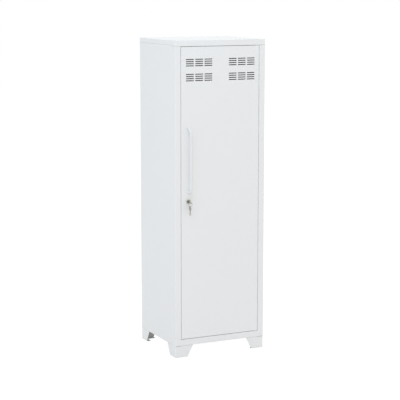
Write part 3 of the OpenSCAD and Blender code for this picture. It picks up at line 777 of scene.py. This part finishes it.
class Trees:
    """The Geometry Nodes trees that the sub-assemblies share."""

    def __init__(self) -> None:
        """Starts each tree and writes it."""
        self.set_out = GrownTree("set_out_copies")
        self.thread = GrownTree("screw_thread")
        self.bar = GrownTree("bent_bar")
        self.slot_beads = GrownTree("vent_slot_beads")
        for write in (self._write_set_out, self._write_thread, self._write_bar, self._write_slot_beads):
            write()

    def _write_set_out(self) -> None:
        """Sets a copy of one piece at each point, aimed along it and spun by a seeded amount."""
        tree = self.set_out
        part = tree.add("GeometryNodeObjectInfo", {"Object": tree.size("Piece", "Object")})
        aim = tree.out("GeometryNodeInputNamedAttribute", {"Name": "aim"}, data_type="FLOAT_VECTOR")
        aimed = tree.out("FunctionNodeAlignRotationToVector", {"Vector": aim}, axis="Z")
        values = {RANDOM_MOST: tree.size("Spin"), "Seed": tree.size("Seed", "Int")}
        spin = tree.add("FunctionNodeRandomValue", values, data_type="FLOAT").outputs[RANDOM_NUMBER]
        turn = tree.out("FunctionNodeAxisAngleToRotation", {"Axis": UP, "Angle": spin})
        turned = tree.out("FunctionNodeRotateRotation", {0: aimed, 1: turn}, rotation_space="LOCAL")
        values = {"Points": tree.base, "Instance": part.outputs["Geometry"], "Rotation": turned}
        tree.close(tree.out("GeometryNodeInstanceOnPoints", values))

    def _write_thread(self) -> None:
        """Winds a screw thread's ridge about Z, downward from the origin."""
        tree = self.thread
        radius, length, pitch = tree.size("Radius"), tree.size("Length"), tree.size("Pitch")
        coil = tree.out("GeometryNodeCurveSpiral", {
            "Resolution": tree.size("Sides", "Int"), "Rotations": tree.math("DIVIDE", length, pitch),
            "Start Radius": radius, "End Radius": radius, "Height": length,
        })
        wound = tree.sweep(coil, 4, tree.math("MULTIPLY", pitch, tree.size("Ridge")))
        drop = tree.out("ShaderNodeCombineXYZ", {"Z": tree.math("MULTIPLY", length, -1.0)})
        tree.close(tree.out("GeometryNodeTransform", {"Geometry": wound, "Translation": drop}))

    def _write_bar(self) -> None:
        """Bends a round bar along a line of points."""
        tree = self.bar
        bent = tree.out("GeometryNodeFilletCurve", {
            "Curve": tree.out("GeometryNodeMeshToCurve", {"Mesh": tree.base}), "Limit Radius": True,
            "Count": tree.size("Bend Steps", "Int"), "Radius": tree.size("Bend Radius"),
        }, mode="POLY")
        tree.close(tree.sweep(bent, tree.size("Sides", "Int"), tree.size("Bar Radius")))

    def _write_slot_beads(self) -> None:
        """Rounds the rim of every vent slot with a thin bead of paint."""
        tree = self.slot_beads
        values = {"Width": tree.size("Slot Length"), "Height": tree.size("Slot Height")}
        rim = tree.out("GeometryNodeCurvePrimitiveQuadrilateral", values)
        values = {"Curve": rim, "Count": 4, "Radius": tree.size("Corner")}
        bead = tree.sweep(tree.out("GeometryNodeFilletCurve", values, mode="POLY"), 8, tree.size("Bead"))
        values = {"Geometry": bead, "Rotation": (math.radians(90), 0.0, 0.0)}
        shape = tree.out("GeometryNodeTransform", values)
        for what, axis in (("Slots", "Z"), ("Rows", "Z"), ("Columns", "X"), ("Groups", "X")):
            offset = tree.out("ShaderNodeCombineXYZ", {axis: tree.size(f"{what} Pitch")})
            values = {"Count": tree.size(what, "Int"), "Offset": offset}
            line = tree.out("GeometryNodeMeshLine", values, mode="OFFSET")
            shape = tree.out("GeometryNodeInstanceOnPoints", {"Points": line, "Instance": shape})
        values = {"Geometry": shape, "Translation": tree.size("First Slot", "Vector")}
        tree.close(tree.out("GeometryNodeTransform", values))


@dataclass
class Workshop:
    """What every sub-assembly needs to make and fit its pieces."""

    palette: Palette
    trees: Trees

    def paint(self, *nodes: str) -> None:
        """Gives CAD nodes the body's powder coat."""
        self.palette.dress(Slot.BODY_PAINT, *nodes)

    def fit(self, piece: Piece, body: Body, slot: Slot, *nodes: str) -> None:
        """Gives a piece its finish and its body.

        Args:
            piece: The piece, in place.
            body: The body that it rides on.
            slot: Its finish.
            nodes: The CAD nodes that it stands for.
        """
        piece.data.materials.clear()
        piece.data.materials.append(self.palette.made[slot])
        if nodes:
            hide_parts(*nodes)
        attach(piece, body.value)
        LOG.info("fitted %s on %s, %d faces", piece.name, body.value, len(piece.data.polygons))

    def copies(self, name: str, unit: Piece, places: list[Vector], aims: list[Vector],
               seed: int, spin: float = math.tau) -> Piece:
        """Sets out copies of a unit piece, and removes the unit.

        Args:
            name: The new piece's name.
            unit: The unit, which stands along +Z on the origin.
            places: Where each copy goes.
            aims: Which way each copy's +Z points.
            seed: The seed of the random spin.
            spin: The most that a copy is spun, in radians.

        Returns:
            The copies, as one piece.
        """
        sizes = {"Piece": unit, "Seed": seed, "Spin": spin}
        piece = self.trees.set_out.grow(name, dots(name, places, aims), sizes)
        bpy.data.objects.remove(unit)
        shade(piece, CREASE)
        return piece

    def ridge(self, radius: float, length: float, pitch: float, top: float, sides: int) -> Piece:
        """Winds a thread's ridge about Z.

        Args:
            radius: The shank's radius.
            length: The thread's length, downward.
            pitch: The thread's pitch.
            top: The height that it starts at.
            sides: Faces to a turn.

        Returns:
            The ridge, as a passing object.
        """
        sizes = {"Radius": radius, "Length": length, "Pitch": pitch, "Ridge": THREAD_RIDGE,
                 "Sides": sides}
        ridge = self.trees.thread.grow("ridge", bpy.data.meshes.new("ridge"), sizes)
        ridge.data.transform(Matrix.Translation((0, 0, top)))
        return ridge

    def threaded(self, radius: float, length: float, pitch: float) -> Mesh:
        """Makes a shank with a thread, down from the origin.

        Args:
            radius: The thread's outer radius.
            length: The shank's length.
            pitch: The thread's pitch.

        Returns:
            The shank's mesh.
        """
        sides, tip = 24, 0.7 * pitch
        core = radius - THREAD_RIDGE * pitch
        profile = [(0, -length), (core - tip, -length), (core, -length + tip), (core, 0), (0, 0)]
        shank = lathe(profile, sides)
        absorb(shank, self.ridge(core, length - 2 * pitch, pitch, -pitch, sides))
        return shank


@dataclass
class Row:
    """The solids of a CAD node that copies of one unit stand for, all facing one way."""

    node: str
    name: str
    body: Body
    aim: Vector
    seed: int
    slot: Slot = Slot.ZINC
    spin: float = math.tau

    def __post_init__(self) -> None:
        """Finds the solids, and the axis that they face along."""
        self.boxes = solids(self.node)
        self.axis = max(range(3), key=lambda i: abs(self.aim[i]))

    @property
    def size(self) -> Vector:
        """How large each solid is."""
        return self.boxes[0][1] - self.boxes[0][0]

    def fill(self, shop: Workshop, unit: Piece, rise: float) -> None:
        """Sets out copies of the unit in place of the solids.

        Args:
            shop: The workshop.
            unit: The unit, which stands along +Z on the origin.
            rise: How far it stands above the origin.
        """
        places = []
        for low, high in self.boxes:
            seat, forward = (low + high) / 2, self.aim[self.axis] > 0
            seat[self.axis] = high[self.axis] - rise if forward else low[self.axis] + rise
            places.append(seat)
        made = shop.copies(self.name, unit, places, [self.aim] * len(places), self.seed, self.spin)
        shop.fit(made, self.body, self.slot, self.node)


@dataclass(frozen=True)
class PanScrew:
    """A pan-head screw with a cross recess, whose head's sizes are shares of its diameter."""

    diameter: float
    pitch: float
    head: float = 0.55
    brim: float = 0.2
    reach: float = 0.95
    foot: Pair = (0.93, 0.03)
    recess: Triple = (0.5, 0.1, 0.2)
    sides: int = 32

    def stand_in(self, shop: Workshop, row: Row) -> None:
        """Puts a screw in place of each solid of a row.

        Args:
            shop: The workshop.
            row: The row.
        """
        d = self.diameter
        height = self.head * d
        crown = arc((0, self.brim * d), (self.reach * d, height - self.brim * d), 90, 15)
        profile = [(0, 0), (self.foot[0] * d, 0), (self.reach * d, self.foot[1] * d)]
        head = as_piece("head", lathe(profile + crown[:-1] + [(0, height)], self.sides))
        along, across, floor = (share * d for share in self.recess)
        for turn in (0.0, 90.0):
            low, high = Vector((-along, -across, floor)), Vector((along, across, d))
            carve(head, block("recess", low, high, spun(turn, "Z")))
        joined = shop.threaded(d / 2, row.size[row.axis] - height, self.pitch)
        absorb(joined, head)
        row.fill(shop, as_piece("unit_screw", joined), height)


@dataclass
class HexHead:
    """A hexagon with its corners turned off, as on a bolt's head or a nut."""

    flats: float
    height: float
    bore: float = 0.0
    both_ends: bool = False
    turned: float = 0.93
    spare: float = 1.02
    slope: float = math.radians(30)
    cone_sides: int = 48
    bore_sides: int = 32

    def make(self) -> Piece:
        """Makes the hexagon upward from the origin.

        Returns:
            The hexagon.
        """
        corner, inner = self.flats / math.sqrt(3), self.turned * self.flats / 2
        outer, grade = self.spare * corner, math.tan(self.slope)
        drop = (corner - inner) * grade
        prism = [(0, 0), (corner, 0), (corner, self.height), (0, self.height)]
        hexagon = as_piece("hexagon", lathe(prism, 6))
        # The cone runs on past the corners, because one that ends on them can spoil the cut.
        cone = [(0, 0), (inner, 0), (outer, (outer - inner) * grade)]
        foot = cone if self.both_ends else [(0, 0), (outer, 0)]
        top = [(outer, self.height - drop), (inner, self.height), (0, self.height)]
        carve(hexagon, as_piece("turned", lathe(foot + top, self.cone_sides)), Cut.OUTSIDE)
        if self.bore:
            low, high = -self.height, 2 * self.height
            reach = [(0, low), (self.bore, low), (self.bore, high), (0, high)]
            carve(hexagon, as_piece("bore", lathe(reach, self.bore_sides)))
        return hexagon


@dataclass(frozen=True)
class WeldMark:
    """The shallow crater that a spot weld leaves under paint."""

    radius: float
    rise: float = 0.00012
    rim: float = 0.2
    dish: float = 0.3
    sag: Pair = (0.2, 0.3)
    sides: int = 20

    def make(self) -> Piece:
        """Makes the crater about the origin.

        Returns:
            The crater.
        """
        radius, rise = self.radius, self.rise
        rim = arc((radius * (1 - self.rim), 0), (radius * self.rim, rise), 180, 30)
        dish = [(self.dish * radius, -self.sag[0] * rise), (0, -self.sag[1] * rise)]
        mesh = lathe([(0, -rise), (radius, -rise)] + rim + dish, self.sides)
        return as_piece("weld_mark", mesh, SOFT_CREASE)


@dataclass
class Carcass:
    """The folded sheets of the body, with the screws that hold the cap and the back."""

    shop: Workshop
    sheets: tuple[str, ...] = (
        "left_side_panel", "right_side_panel", "back_panel", "top_cap", "header_rail", "base_rail",
        "floor_tray",
    )
    screw: PanScrew = PanScrew(diameter=0.004, pitch=0.0009)

    def build(self) -> None:
        """Paints the sheets and fits the screws."""
        self.shop.paint(*self.sheets)
        for node, aim, seed in (("back_screws", BACK, 11), ("cap_screws", DOWN, 12)):
            self.screw.stand_in(self.shop, Row(node, f"{node}_set", Body.CARCASS, aim, seed))


@dataclass
class Feet:
    """The four pressed feet and the bolts and nuts that hold them."""

    shop: Workshop
    feet: tuple[str, ...] = ("foot_front_left", "foot_front_right", "foot_rear_left", "foot_rear_right")
    diameter: float = 0.006
    pitch: float = 0.001
    head_share: float = 0.65
    flats_share: float = 1.9 * 0.866
    bore_share: float = 0.94

    def build(self) -> None:
        """Paints the feet, and fits bolts whose heads face down and nuts with two chamfers."""
        self.shop.paint(*self.feet)
        radius, flats = self.diameter / 2, self.flats_share * self.diameter
        head = self.head_share * self.diameter
        bolts = Row("foot_bolts", "foot_bolt_set", Body.CARCASS, DOWN, 21)
        shank = self.shop.threaded(radius, bolts.size.z - head, self.pitch)
        absorb(shank, HexHead(flats, head).make())
        bolts.fill(self.shop, as_piece("unit_bolt", shank), head)
        nuts = Row("foot_nuts", "foot_nut_set", Body.CARCASS, UP, 22)
        unit = HexHead(flats, nuts.size.z, radius * self.bore_share, both_ends=True)
        nuts.fill(self.shop, unit.make(), nuts.size.z)


@dataclass
class Fittings:
    """The shelves, their brackets and the hanging rail, with the marks of their spot welds."""

    shop: Workshop
    weld: WeldMark = WeldMark(radius=0.0024)
    weld_shares: Pair = (0.25, 0.75)
    weld_drop: float = 0.002
    leg: float = 0.0015

    def build(self) -> None:
        """Dresses the fittings and adds the weld marks."""
        self.shop.paint("upper_shelf", "lower_shelf", "shelf_brackets")
        self.shop.palette.dress(Slot.CHROME, "hanging_rail", "rail_sockets")
        places, aims = [], []
        for low, high in solids("shelf_brackets"):
            side, wall = (-1, low.x) if low.x < 0 else (1, high.x)
            for share in self.weld_shares:
                along, height = low.y + share * (high.y - low.y), (low.z + high.z) / 2 - self.weld_drop
                places.append(Vector((wall - side * self.leg, along, height)))
                aims.append(Vector((-side, 0, 0)))
        made = self.shop.copies("bracket_welds", self.weld.make(), places, aims, 31)
        self.shop.fit(made, Body.CARCASS, Slot.BODY_PAINT)


@dataclass
class Door:
    """The door's pan, its stiffener with spot welds, its bumpers and its hinges."""

    shop: Workshop
    foot_width: float = 0.012
    sheet: float = 0.0008
    weld: WeldMark = WeldMark(radius=0.0026)
    weld_pitch: float = 0.078
    edge: float = 0.035
    bumper_brim: float = 0.12
    bumper_dome: float = 0.8
    bumper_dish: Pair = (0.4, 0.9)
    bumper_sides: int = 36

    def build(self) -> None:
        """Dresses the door's pieces and adds the welds and bumpers."""
        self.shop.paint("door_panel", "door_stiffener")
        self.shop.palette.dress(Slot.NYLON, "hinge_bushes")
        self.shop.palette.dress(Slot.ZINC, "lower_hinge_pin", "upper_hinge_pin")
        self._welds()
        self._bumpers()

    def _welds(self) -> None:
        """Sets spot welds down both feet of the stiffener."""
        low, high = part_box("door_stiffener")
        span = high.z - low.z - 2 * self.edge
        gaps = round(span / self.weld_pitch)
        rows = (low.x + self.foot_width / 2, high.x - self.foot_width / 2)
        places = [Vector((x, low.y + self.sheet, low.z + self.edge + span * i / gaps))
                  for x in rows for i in range(gaps + 1)]
        made = self.shop.copies("stiffener_welds", self.weld.make(), places, [BACK] * len(places), 51)
        self.shop.fit(made, Body.DOOR, Slot.BODY_PAINT)

    def _bumpers(self) -> None:
        """Replaces the rubber bumpers with domed ones."""
        row = Row("door_bumpers", "bumper_set", Body.DOOR, BACK, 52, Slot.RUBBER)
        radius, thick = row.size.x / 2, row.size.y
        bend, (inner, deep) = self.bumper_dome * thick, self.bumper_dish
        foot = [(0, 0), (radius, 0), (radius, self.bumper_brim * thick)]
        dome = arc((radius - bend, thick - bend), (bend, bend), 90, QUARTER_STEP)
        mesh = lathe(foot + dome + [(inner * radius, thick), (0, deep * thick)], self.bumper_sides)
        row.fill(self.shop, as_piece("unit_bumper", mesh, SOFT_CREASE), thick)


@dataclass
class Vents:
    """The punched vent slots, whose rims the paint has rounded."""

    shop: Workshop
    slot_length: float = 0.0345
    slot_height: float = 0.0042
    corner: float = 0.0009
    bead: float = 0.0003
    slots: Step = (4, -0.0084)
    rows: Step = (2, -0.0585)
    columns: Step = (3, 0.0405)
    groups: Step = (2, 0.189)
    drop: float = 0.0476

    def build(self) -> None:
        """Lays a bead round each slot on the door's face."""
        low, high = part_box("door_panel")
        across = sum((count - 1) * pitch for count, pitch in (self.columns, self.groups))
        top = high.z - self.drop - self.slot_height / 2
        start = ((low.x + high.x - across) / 2, low.y + self.bead / 2, top)
        sizes = {"Slot Length": self.slot_length, "Slot Height": self.slot_height,
                 "Corner": self.corner, "Bead": self.bead, "First Slot": start}
        steps = {"Slots": self.slots, "Rows": self.rows, "Columns": self.columns, "Groups": self.groups}
        for name, step in steps.items():
            sizes[name], sizes[f"{name} Pitch"] = step
        piece = self.shop.trees.slot_beads.grow("vent_slot_beads", bpy.data.meshes.new("beads"), sizes)
        shade(piece, SOFT_CREASE)
        self.shop.fit(piece, Body.DOOR, Slot.BODY_PAINT)


@dataclass
class Handle:
    """The round-bar handle and the screws that hold it from inside."""

    shop: Workshop
    bend_radius: float = 0.020
    bend_steps: int = 14
    sides: int = 40
    crease: float = 50.0
    screw: PanScrew = PanScrew(diameter=0.005, pitch=0.0008)

    def build(self) -> None:
        """Bends the bar and fits the screws, whose heads face into the cabinet."""
        low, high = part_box("door_handle")
        radius, middle = (high.x - low.x) / 2, (low.x + high.x) / 2
        front, ends = low.y + radius, (low.z + radius, high.z - radius)
        line = bpy.data.meshes.new("handle_line")
        legs = [(high.y, ends[0]), (front, ends[0]), (front, ends[1]), (high.y, ends[1])]
        line.from_pydata([(middle, y, z) for y, z in legs], [(0, 1), (1, 2), (2, 3)], [])
        sizes = {"Bend Steps": self.bend_steps, "Bend Radius": self.bend_radius,
                 "Sides": self.sides, "Bar Radius": radius}
        bar = self.shop.trees.bar.grow("handle_bar", line, sizes)
        shade(bar, self.crease)
        self.shop.fit(bar, Body.DOOR, Slot.BODY_PAINT, "door_handle")
        # The bar gets the darker copy of the white coat, as painted shade.
        bar.data.materials[0] = self.shop.palette.bar_paint_painted_shade
        self.screw.stand_in(self.shop, Row("handle_screws", "handle_screw_set", Body.DOOR, BACK, 41))


@dataclass
class Lock:
    """The cam lock: its threaded barrel, nut, plug and cam."""

    shop: Workshop
    face_thickness: float = 0.003
    body_radius: float = 0.009
    plug_radius: float = 0.00606
    head_radius: float = 0.00731
    head_depth: float = 0.00166
    rim: float = 0.0012
    lip: float = 0.0002
    groove_half: float = 0.0003
    groove_depth: float = 0.00015
    pitch: float = 0.001
    run_out: float = 0.4
    sides: int = 64
    thread_sides: int = 48
    nut_flats: float = 0.024
    nut_bore: float = 0.97
    eased: float = 0.00018
    cam_screw: PanScrew = PanScrew(diameter=0.004, pitch=0.0007)

    def build(self) -> None:
        """Makes the lock's pieces."""
        self._barrel()
        nut = Row("lock_nut", "lock_nut_turned", Body.DOOR, BACK, 61, spin=0.0)
        unit = HexHead(self.nut_flats, nut.size.y, self.body_radius * self.nut_bore, both_ends=True)
        nut.fill(self.shop, unit.make(), nut.size.y)
        for node, slot in (("lock_plug", Slot.PLUG_METAL), ("lock_cam", Slot.ZINC)):
            self.shop.fit(soften(node, f"{node}_eased", self.eased), Body.LOCK_PLUG, slot, node)
        screw = Row("cam_screw", "cam_screw_turned", Body.LOCK_PLUG, BACK, 62)
        self.cam_screw.stand_in(self.shop, screw)

    def _barrel(self) -> None:
        """Turns the barrel about Z with its face at the origin, and stands it in the door."""
        low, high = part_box("lock_barrel")
        face, back, seat = (high.x - low.x) / 2, low.y - high.y, -self.face_thickness
        core = self.body_radius - THREAD_RIDGE * self.pitch
        groove, half = 0.5 * (face + self.head_radius), self.groove_half
        profile = [(self.plug_radius, back), (core, back), (core, seat), (face, seat)]
        profile += arc((face - self.rim, -self.rim), (self.rim, self.rim), 90, QUARTER_STEP)
        profile += [(groove + half, 0), (groove, -self.groove_depth), (groove - half, 0)]
        profile += [(self.head_radius + self.lip, 0), (self.head_radius, -self.lip)]
        profile += [(self.head_radius, -self.head_depth), (self.plug_radius, -self.head_depth)]
        mesh = lathe(profile, self.sides, closed=True)
        length, top = seat - back - self.pitch, seat - self.run_out * self.pitch
        absorb(mesh, self.shop.ridge(core, length, self.pitch, top, self.thread_sides))
        middle = (low + high) / 2
        mesh.transform(Matrix.Translation((middle.x, low.y, middle.z)) @ spun(90, "X"))
        self.shop.fit(as_piece("lock_barrel_turned", mesh), Body.DOOR, Slot.LOCK_METAL, "lock_barrel")


@dataclass(frozen=True)
class Milling:
    """A straight cut in both faces of a key, by the key's own axes."""

    half: float
    depth: float
    span: Pair
    aside: float = 0.0


@dataclass
class Keys:
    """The key in the lock, the split ring and the spare key that hangs from it."""

    shop: Workshop
    bow_length: float = 0.019
    thickness: float = 0.0018
    tilt: float = 45.0
    eased: float = 0.00022
    groove: Milling = Milling(half=0.00055, depth=0.0004, span=(0.0005, 0.0205), aside=0.0008)
    panel: Milling = Milling(half=0.00575, depth=0.00022, span=(-0.009, -0.0048))
    past: float = 0.001
    crease: float = 40.0
    wire: Pair = (0.00062, 0.0003)
    turns: float = 2.0
    start: float = 135.0
    steps: int = 160
    sides: int = 10

    def build(self) -> None:
        """Makes both keys and the ring."""
        seat, spare = centre("key"), centre("spare_key")
        seat.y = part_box("key")[0].y + self.bow_length
        spare.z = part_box("spare_key")[1].z - self.bow_length
        self._key("key", Body.KEY, Matrix.Translation(seat) @ spun(-90, "X") @ spun(self.tilt, "Z"))
        self._key("spare_key", Body.SPARE_KEY, Matrix.Translation(spare) @ spun(180, "Y") @ spun(90, "Z"))
        self._ring()

    def _key(self, node: str, body: Body, place: Matrix) -> None:
        """Eases a key's edges, mills its blade and presses the panels in its bow.

        Args:
            node: The CAD node.
            body: The body that it rides on.
            place: The matrix from the key's own axes, blade along +Z, to its place.
        """
        piece = soften(node, f"{node}_milled", self.eased)
        for side in (-1, 1):
            for mill in (self.groove, self.panel):
                middle, skin = -side * mill.aside, self.thickness / 2
                near, far = sorted((side * (skin - mill.depth), side * (skin + self.past)))
                low = Vector((middle - mill.half, near, mill.span[0]))
                high = Vector((middle + mill.half, far, mill.span[1]))
                carve(piece, block("mill", low, high, place))
        shade(piece, self.crease)
        self.shop.fit(piece, body, Slot.KEY_METAL, node)

    def _ring(self) -> None:
        """Winds the split ring from two turns of flattened wire."""
        low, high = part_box("key_ring")
        radius = (high.x - low.x) / 2 - (high.y - low.y) / 2
        mesh = bmesh.new()
        rings = []
        for i in range(self.steps + 1):
            share = i / self.steps
            turn = math.tau * self.turns * share + math.radians(self.start)
            shift = (share - 0.5) * self.turns * 2 * self.wire[1]
            section = arc((radius, shift), self.wire, 360, 360 / self.sides)[:-1]
            rings.append([mesh.verts.new((out * math.cos(turn), along, out * math.sin(turn)))
                          for out, along in section])
        for first, second in zip(rings, rings[1:]):
            for k in range(self.sides):
                n = (k + 1) % self.sides
                mesh.faces.new((first[k], first[n], second[n], second[k]))
        mesh.faces.new(rings[0])
        mesh.faces.new(rings[-1])
        bmesh.ops.recalc_face_normals(mesh, faces=mesh.faces)
        mesh.transform(Matrix.Translation((low + high) / 2))
        self.shop.fit(as_piece("split_ring", mesh, SOFT_CREASE), Body.KEY_RING, Slot.RING_STEEL, "key_ring")


@dataclass(frozen=True)
class Lamp:
    """A soft square lamp, and whether polished surfaces mirror it."""

    place: Triple
    target: Triple
    side: float
    power: float
    colour: Triple
    mirrored: bool = True

    def hang(self, name: str) -> None:
        """Hangs the lamp.

        Args:
            name: The lamp's name.
        """
        data = bpy.data.lights.new(name, "AREA")
        data.size = self.side
        data.energy = self.power
        data.color = self.colour
        hung = linked(name, data)
        hung.location = self.place
        look = Vector(self.target) - Vector(self.place)
        hung.rotation_euler = look.to_track_quat("-Z", "Y").to_euler()
        hung.visible_camera = False
        hung.visible_glossy = self.mirrored


@dataclass
class Studio:
    """The pale floor, the white surroundings, the soft lamps and the camera."""

    eye: Triple = (-2.376, -4.7888, 1.4846)
    yaw: float = math.radians(25.51)
    pitch: float = math.radians(9.02)
    lens: float = 120.6
    sensor: float = 36.0
    sky: float = 0.70
    floor_half: float = 14.0
    floor_tone: float = 0.86
    floor_roughness: float = 0.9
    floor_gloss: float = 0.1
    floor_glow: float = 0.85
    floor_white: float = 1.15
    lamps: dict[str, Lamp] = field(default_factory=lambda: {
        "top_lamp": Lamp((0.2, -0.4, 5.0), (0.0, 0.0, 0.6), 4.0, 49.0, (0.94, 0.985, 1.0)),
        "left_lamp": Lamp((-4.6, 0.0, 2.4), (0.0, 0.0, 0.8), 3.0, 28.0, (0.82, 0.925, 0.985)),
        "front_lamp": Lamp((-1.4, -6.2, 1.8), (0.0, 0.0, 0.6), 4.0, 60.0, (1.0, 0.942, 0.872), False),
        "high_lamp": Lamp((-1.25, -1.45, 2.5), (0.0, -0.1, 1.2), 1.2, 9.0, (0.5, 0.79, 1.0), False),
        "rear_lamp": Lamp((4.0, 2.2, 2.2), (0.0, 0.1, 0.7), 3.0, 30.0, (0.97, 0.985, 1.0)),
    })

    def build(self) -> None:
        """Sets the whole stage."""
        self._floor()
        self._sky()
        for name, lamp in self.lamps.items():
            lamp.hang(name)
        self._camera()

    @staticmethod
    def _seen(sheet: Sheet) -> Socket:
        """Tells the rays that see the background from those that light the object.

        Args:
            sheet: The material's or the world's sheet.

        Returns:
            1 for what is seen, straight or by way of metal or glass, and 0 otherwise.
        """
        rays = sheet.add("ShaderNodeLightPath").outputs
        seen = sheet.math("MAXIMUM", rays["Is Camera Ray"], rays["Is Transmission Ray"])
        return sheet.math("MAXIMUM", seen, rays["Is Glossy Ray"])

    def _floor(self) -> None:
        """Lays the floor, which stays white to the camera but for the object's shadow."""
        mesh = bmesh.new()
        bmesh.ops.create_grid(mesh, x_segments=1, y_segments=1, size=self.floor_half)
        floor = as_piece("studio_floor", mesh)
        material = bpy.data.materials.new("pale_floor")
        material.use_nodes = True
        nodes, sheet = material.node_tree.nodes, Sheet(material.node_tree)
        shader, tone = nodes["Principled BSDF"], self.floor_tone
        sheet.feed(shader, {"Base Color": (tone, tone, tone, 1.0), "Roughness": self.floor_roughness,
                            "Specular IOR Level": self.floor_gloss})
        share = sheet.math("MULTIPLY", self._seen(sheet), self.floor_glow)
        glow = sheet.out("ShaderNodeEmission", {"Color": WHITE, "Strength": self.floor_white})
        mixed = sheet.out("ShaderNodeMixShader", {0: share, 1: shader.outputs["BSDF"], 2: glow})
        sheet.feed(nodes["Material Output"], {"Surface": mixed})
        floor.data.materials.append(material)

    def _sky(self) -> None:
        """Surrounds the stage with white, at a plain level of light."""
        world = bpy.data.worlds.new("white_room")
        world.use_nodes = True
        sheet = Sheet(world.node_tree)
        strength = sheet.spread(self._seen(sheet), self.sky, 1.0)
        sheet.feed(world.node_tree.nodes["Background"], {"Color": WHITE, "Strength": strength})
        bpy.context.scene.world = world

    def _camera(self) -> None:
        """Sets the camera from the middle of the body's front, at floor level."""
        foot = Vector((centre("top_cap").x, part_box("top_cap")[0].y, CAD_BOX[0][2]))
        level = math.cos(self.pitch)
        look = Vector((math.sin(self.yaw) * level, math.cos(self.yaw) * level, -math.sin(self.pitch)))
        data = bpy.data.cameras.new("studio_camera")
        data.lens = self.lens
        data.sensor_width = self.sensor
        camera = linked("studio_camera", data)
        camera.location = foot + Vector(self.eye)
        camera.rotation_euler = look.to_track_quat("-Z", "Y").to_euler()
        bpy.context.scene.camera = camera


def main() -> None:
    """Builds every sub-assembly and the stage."""
    logging.basicConfig(level=logging.INFO, format="%(name)s: %(message)s")
    bpy.context.scene.view_settings.view_transform = "Standard"
    shop = Workshop(Palette(), Trees())
    for part in (Carcass, Feet, Fittings, Door, Vents, Handle, Lock, Keys):
        LOG.info("building %s", part.__name__)
        part(shop).build()
    Studio().build()


if __name__ == "__main__":
    main()
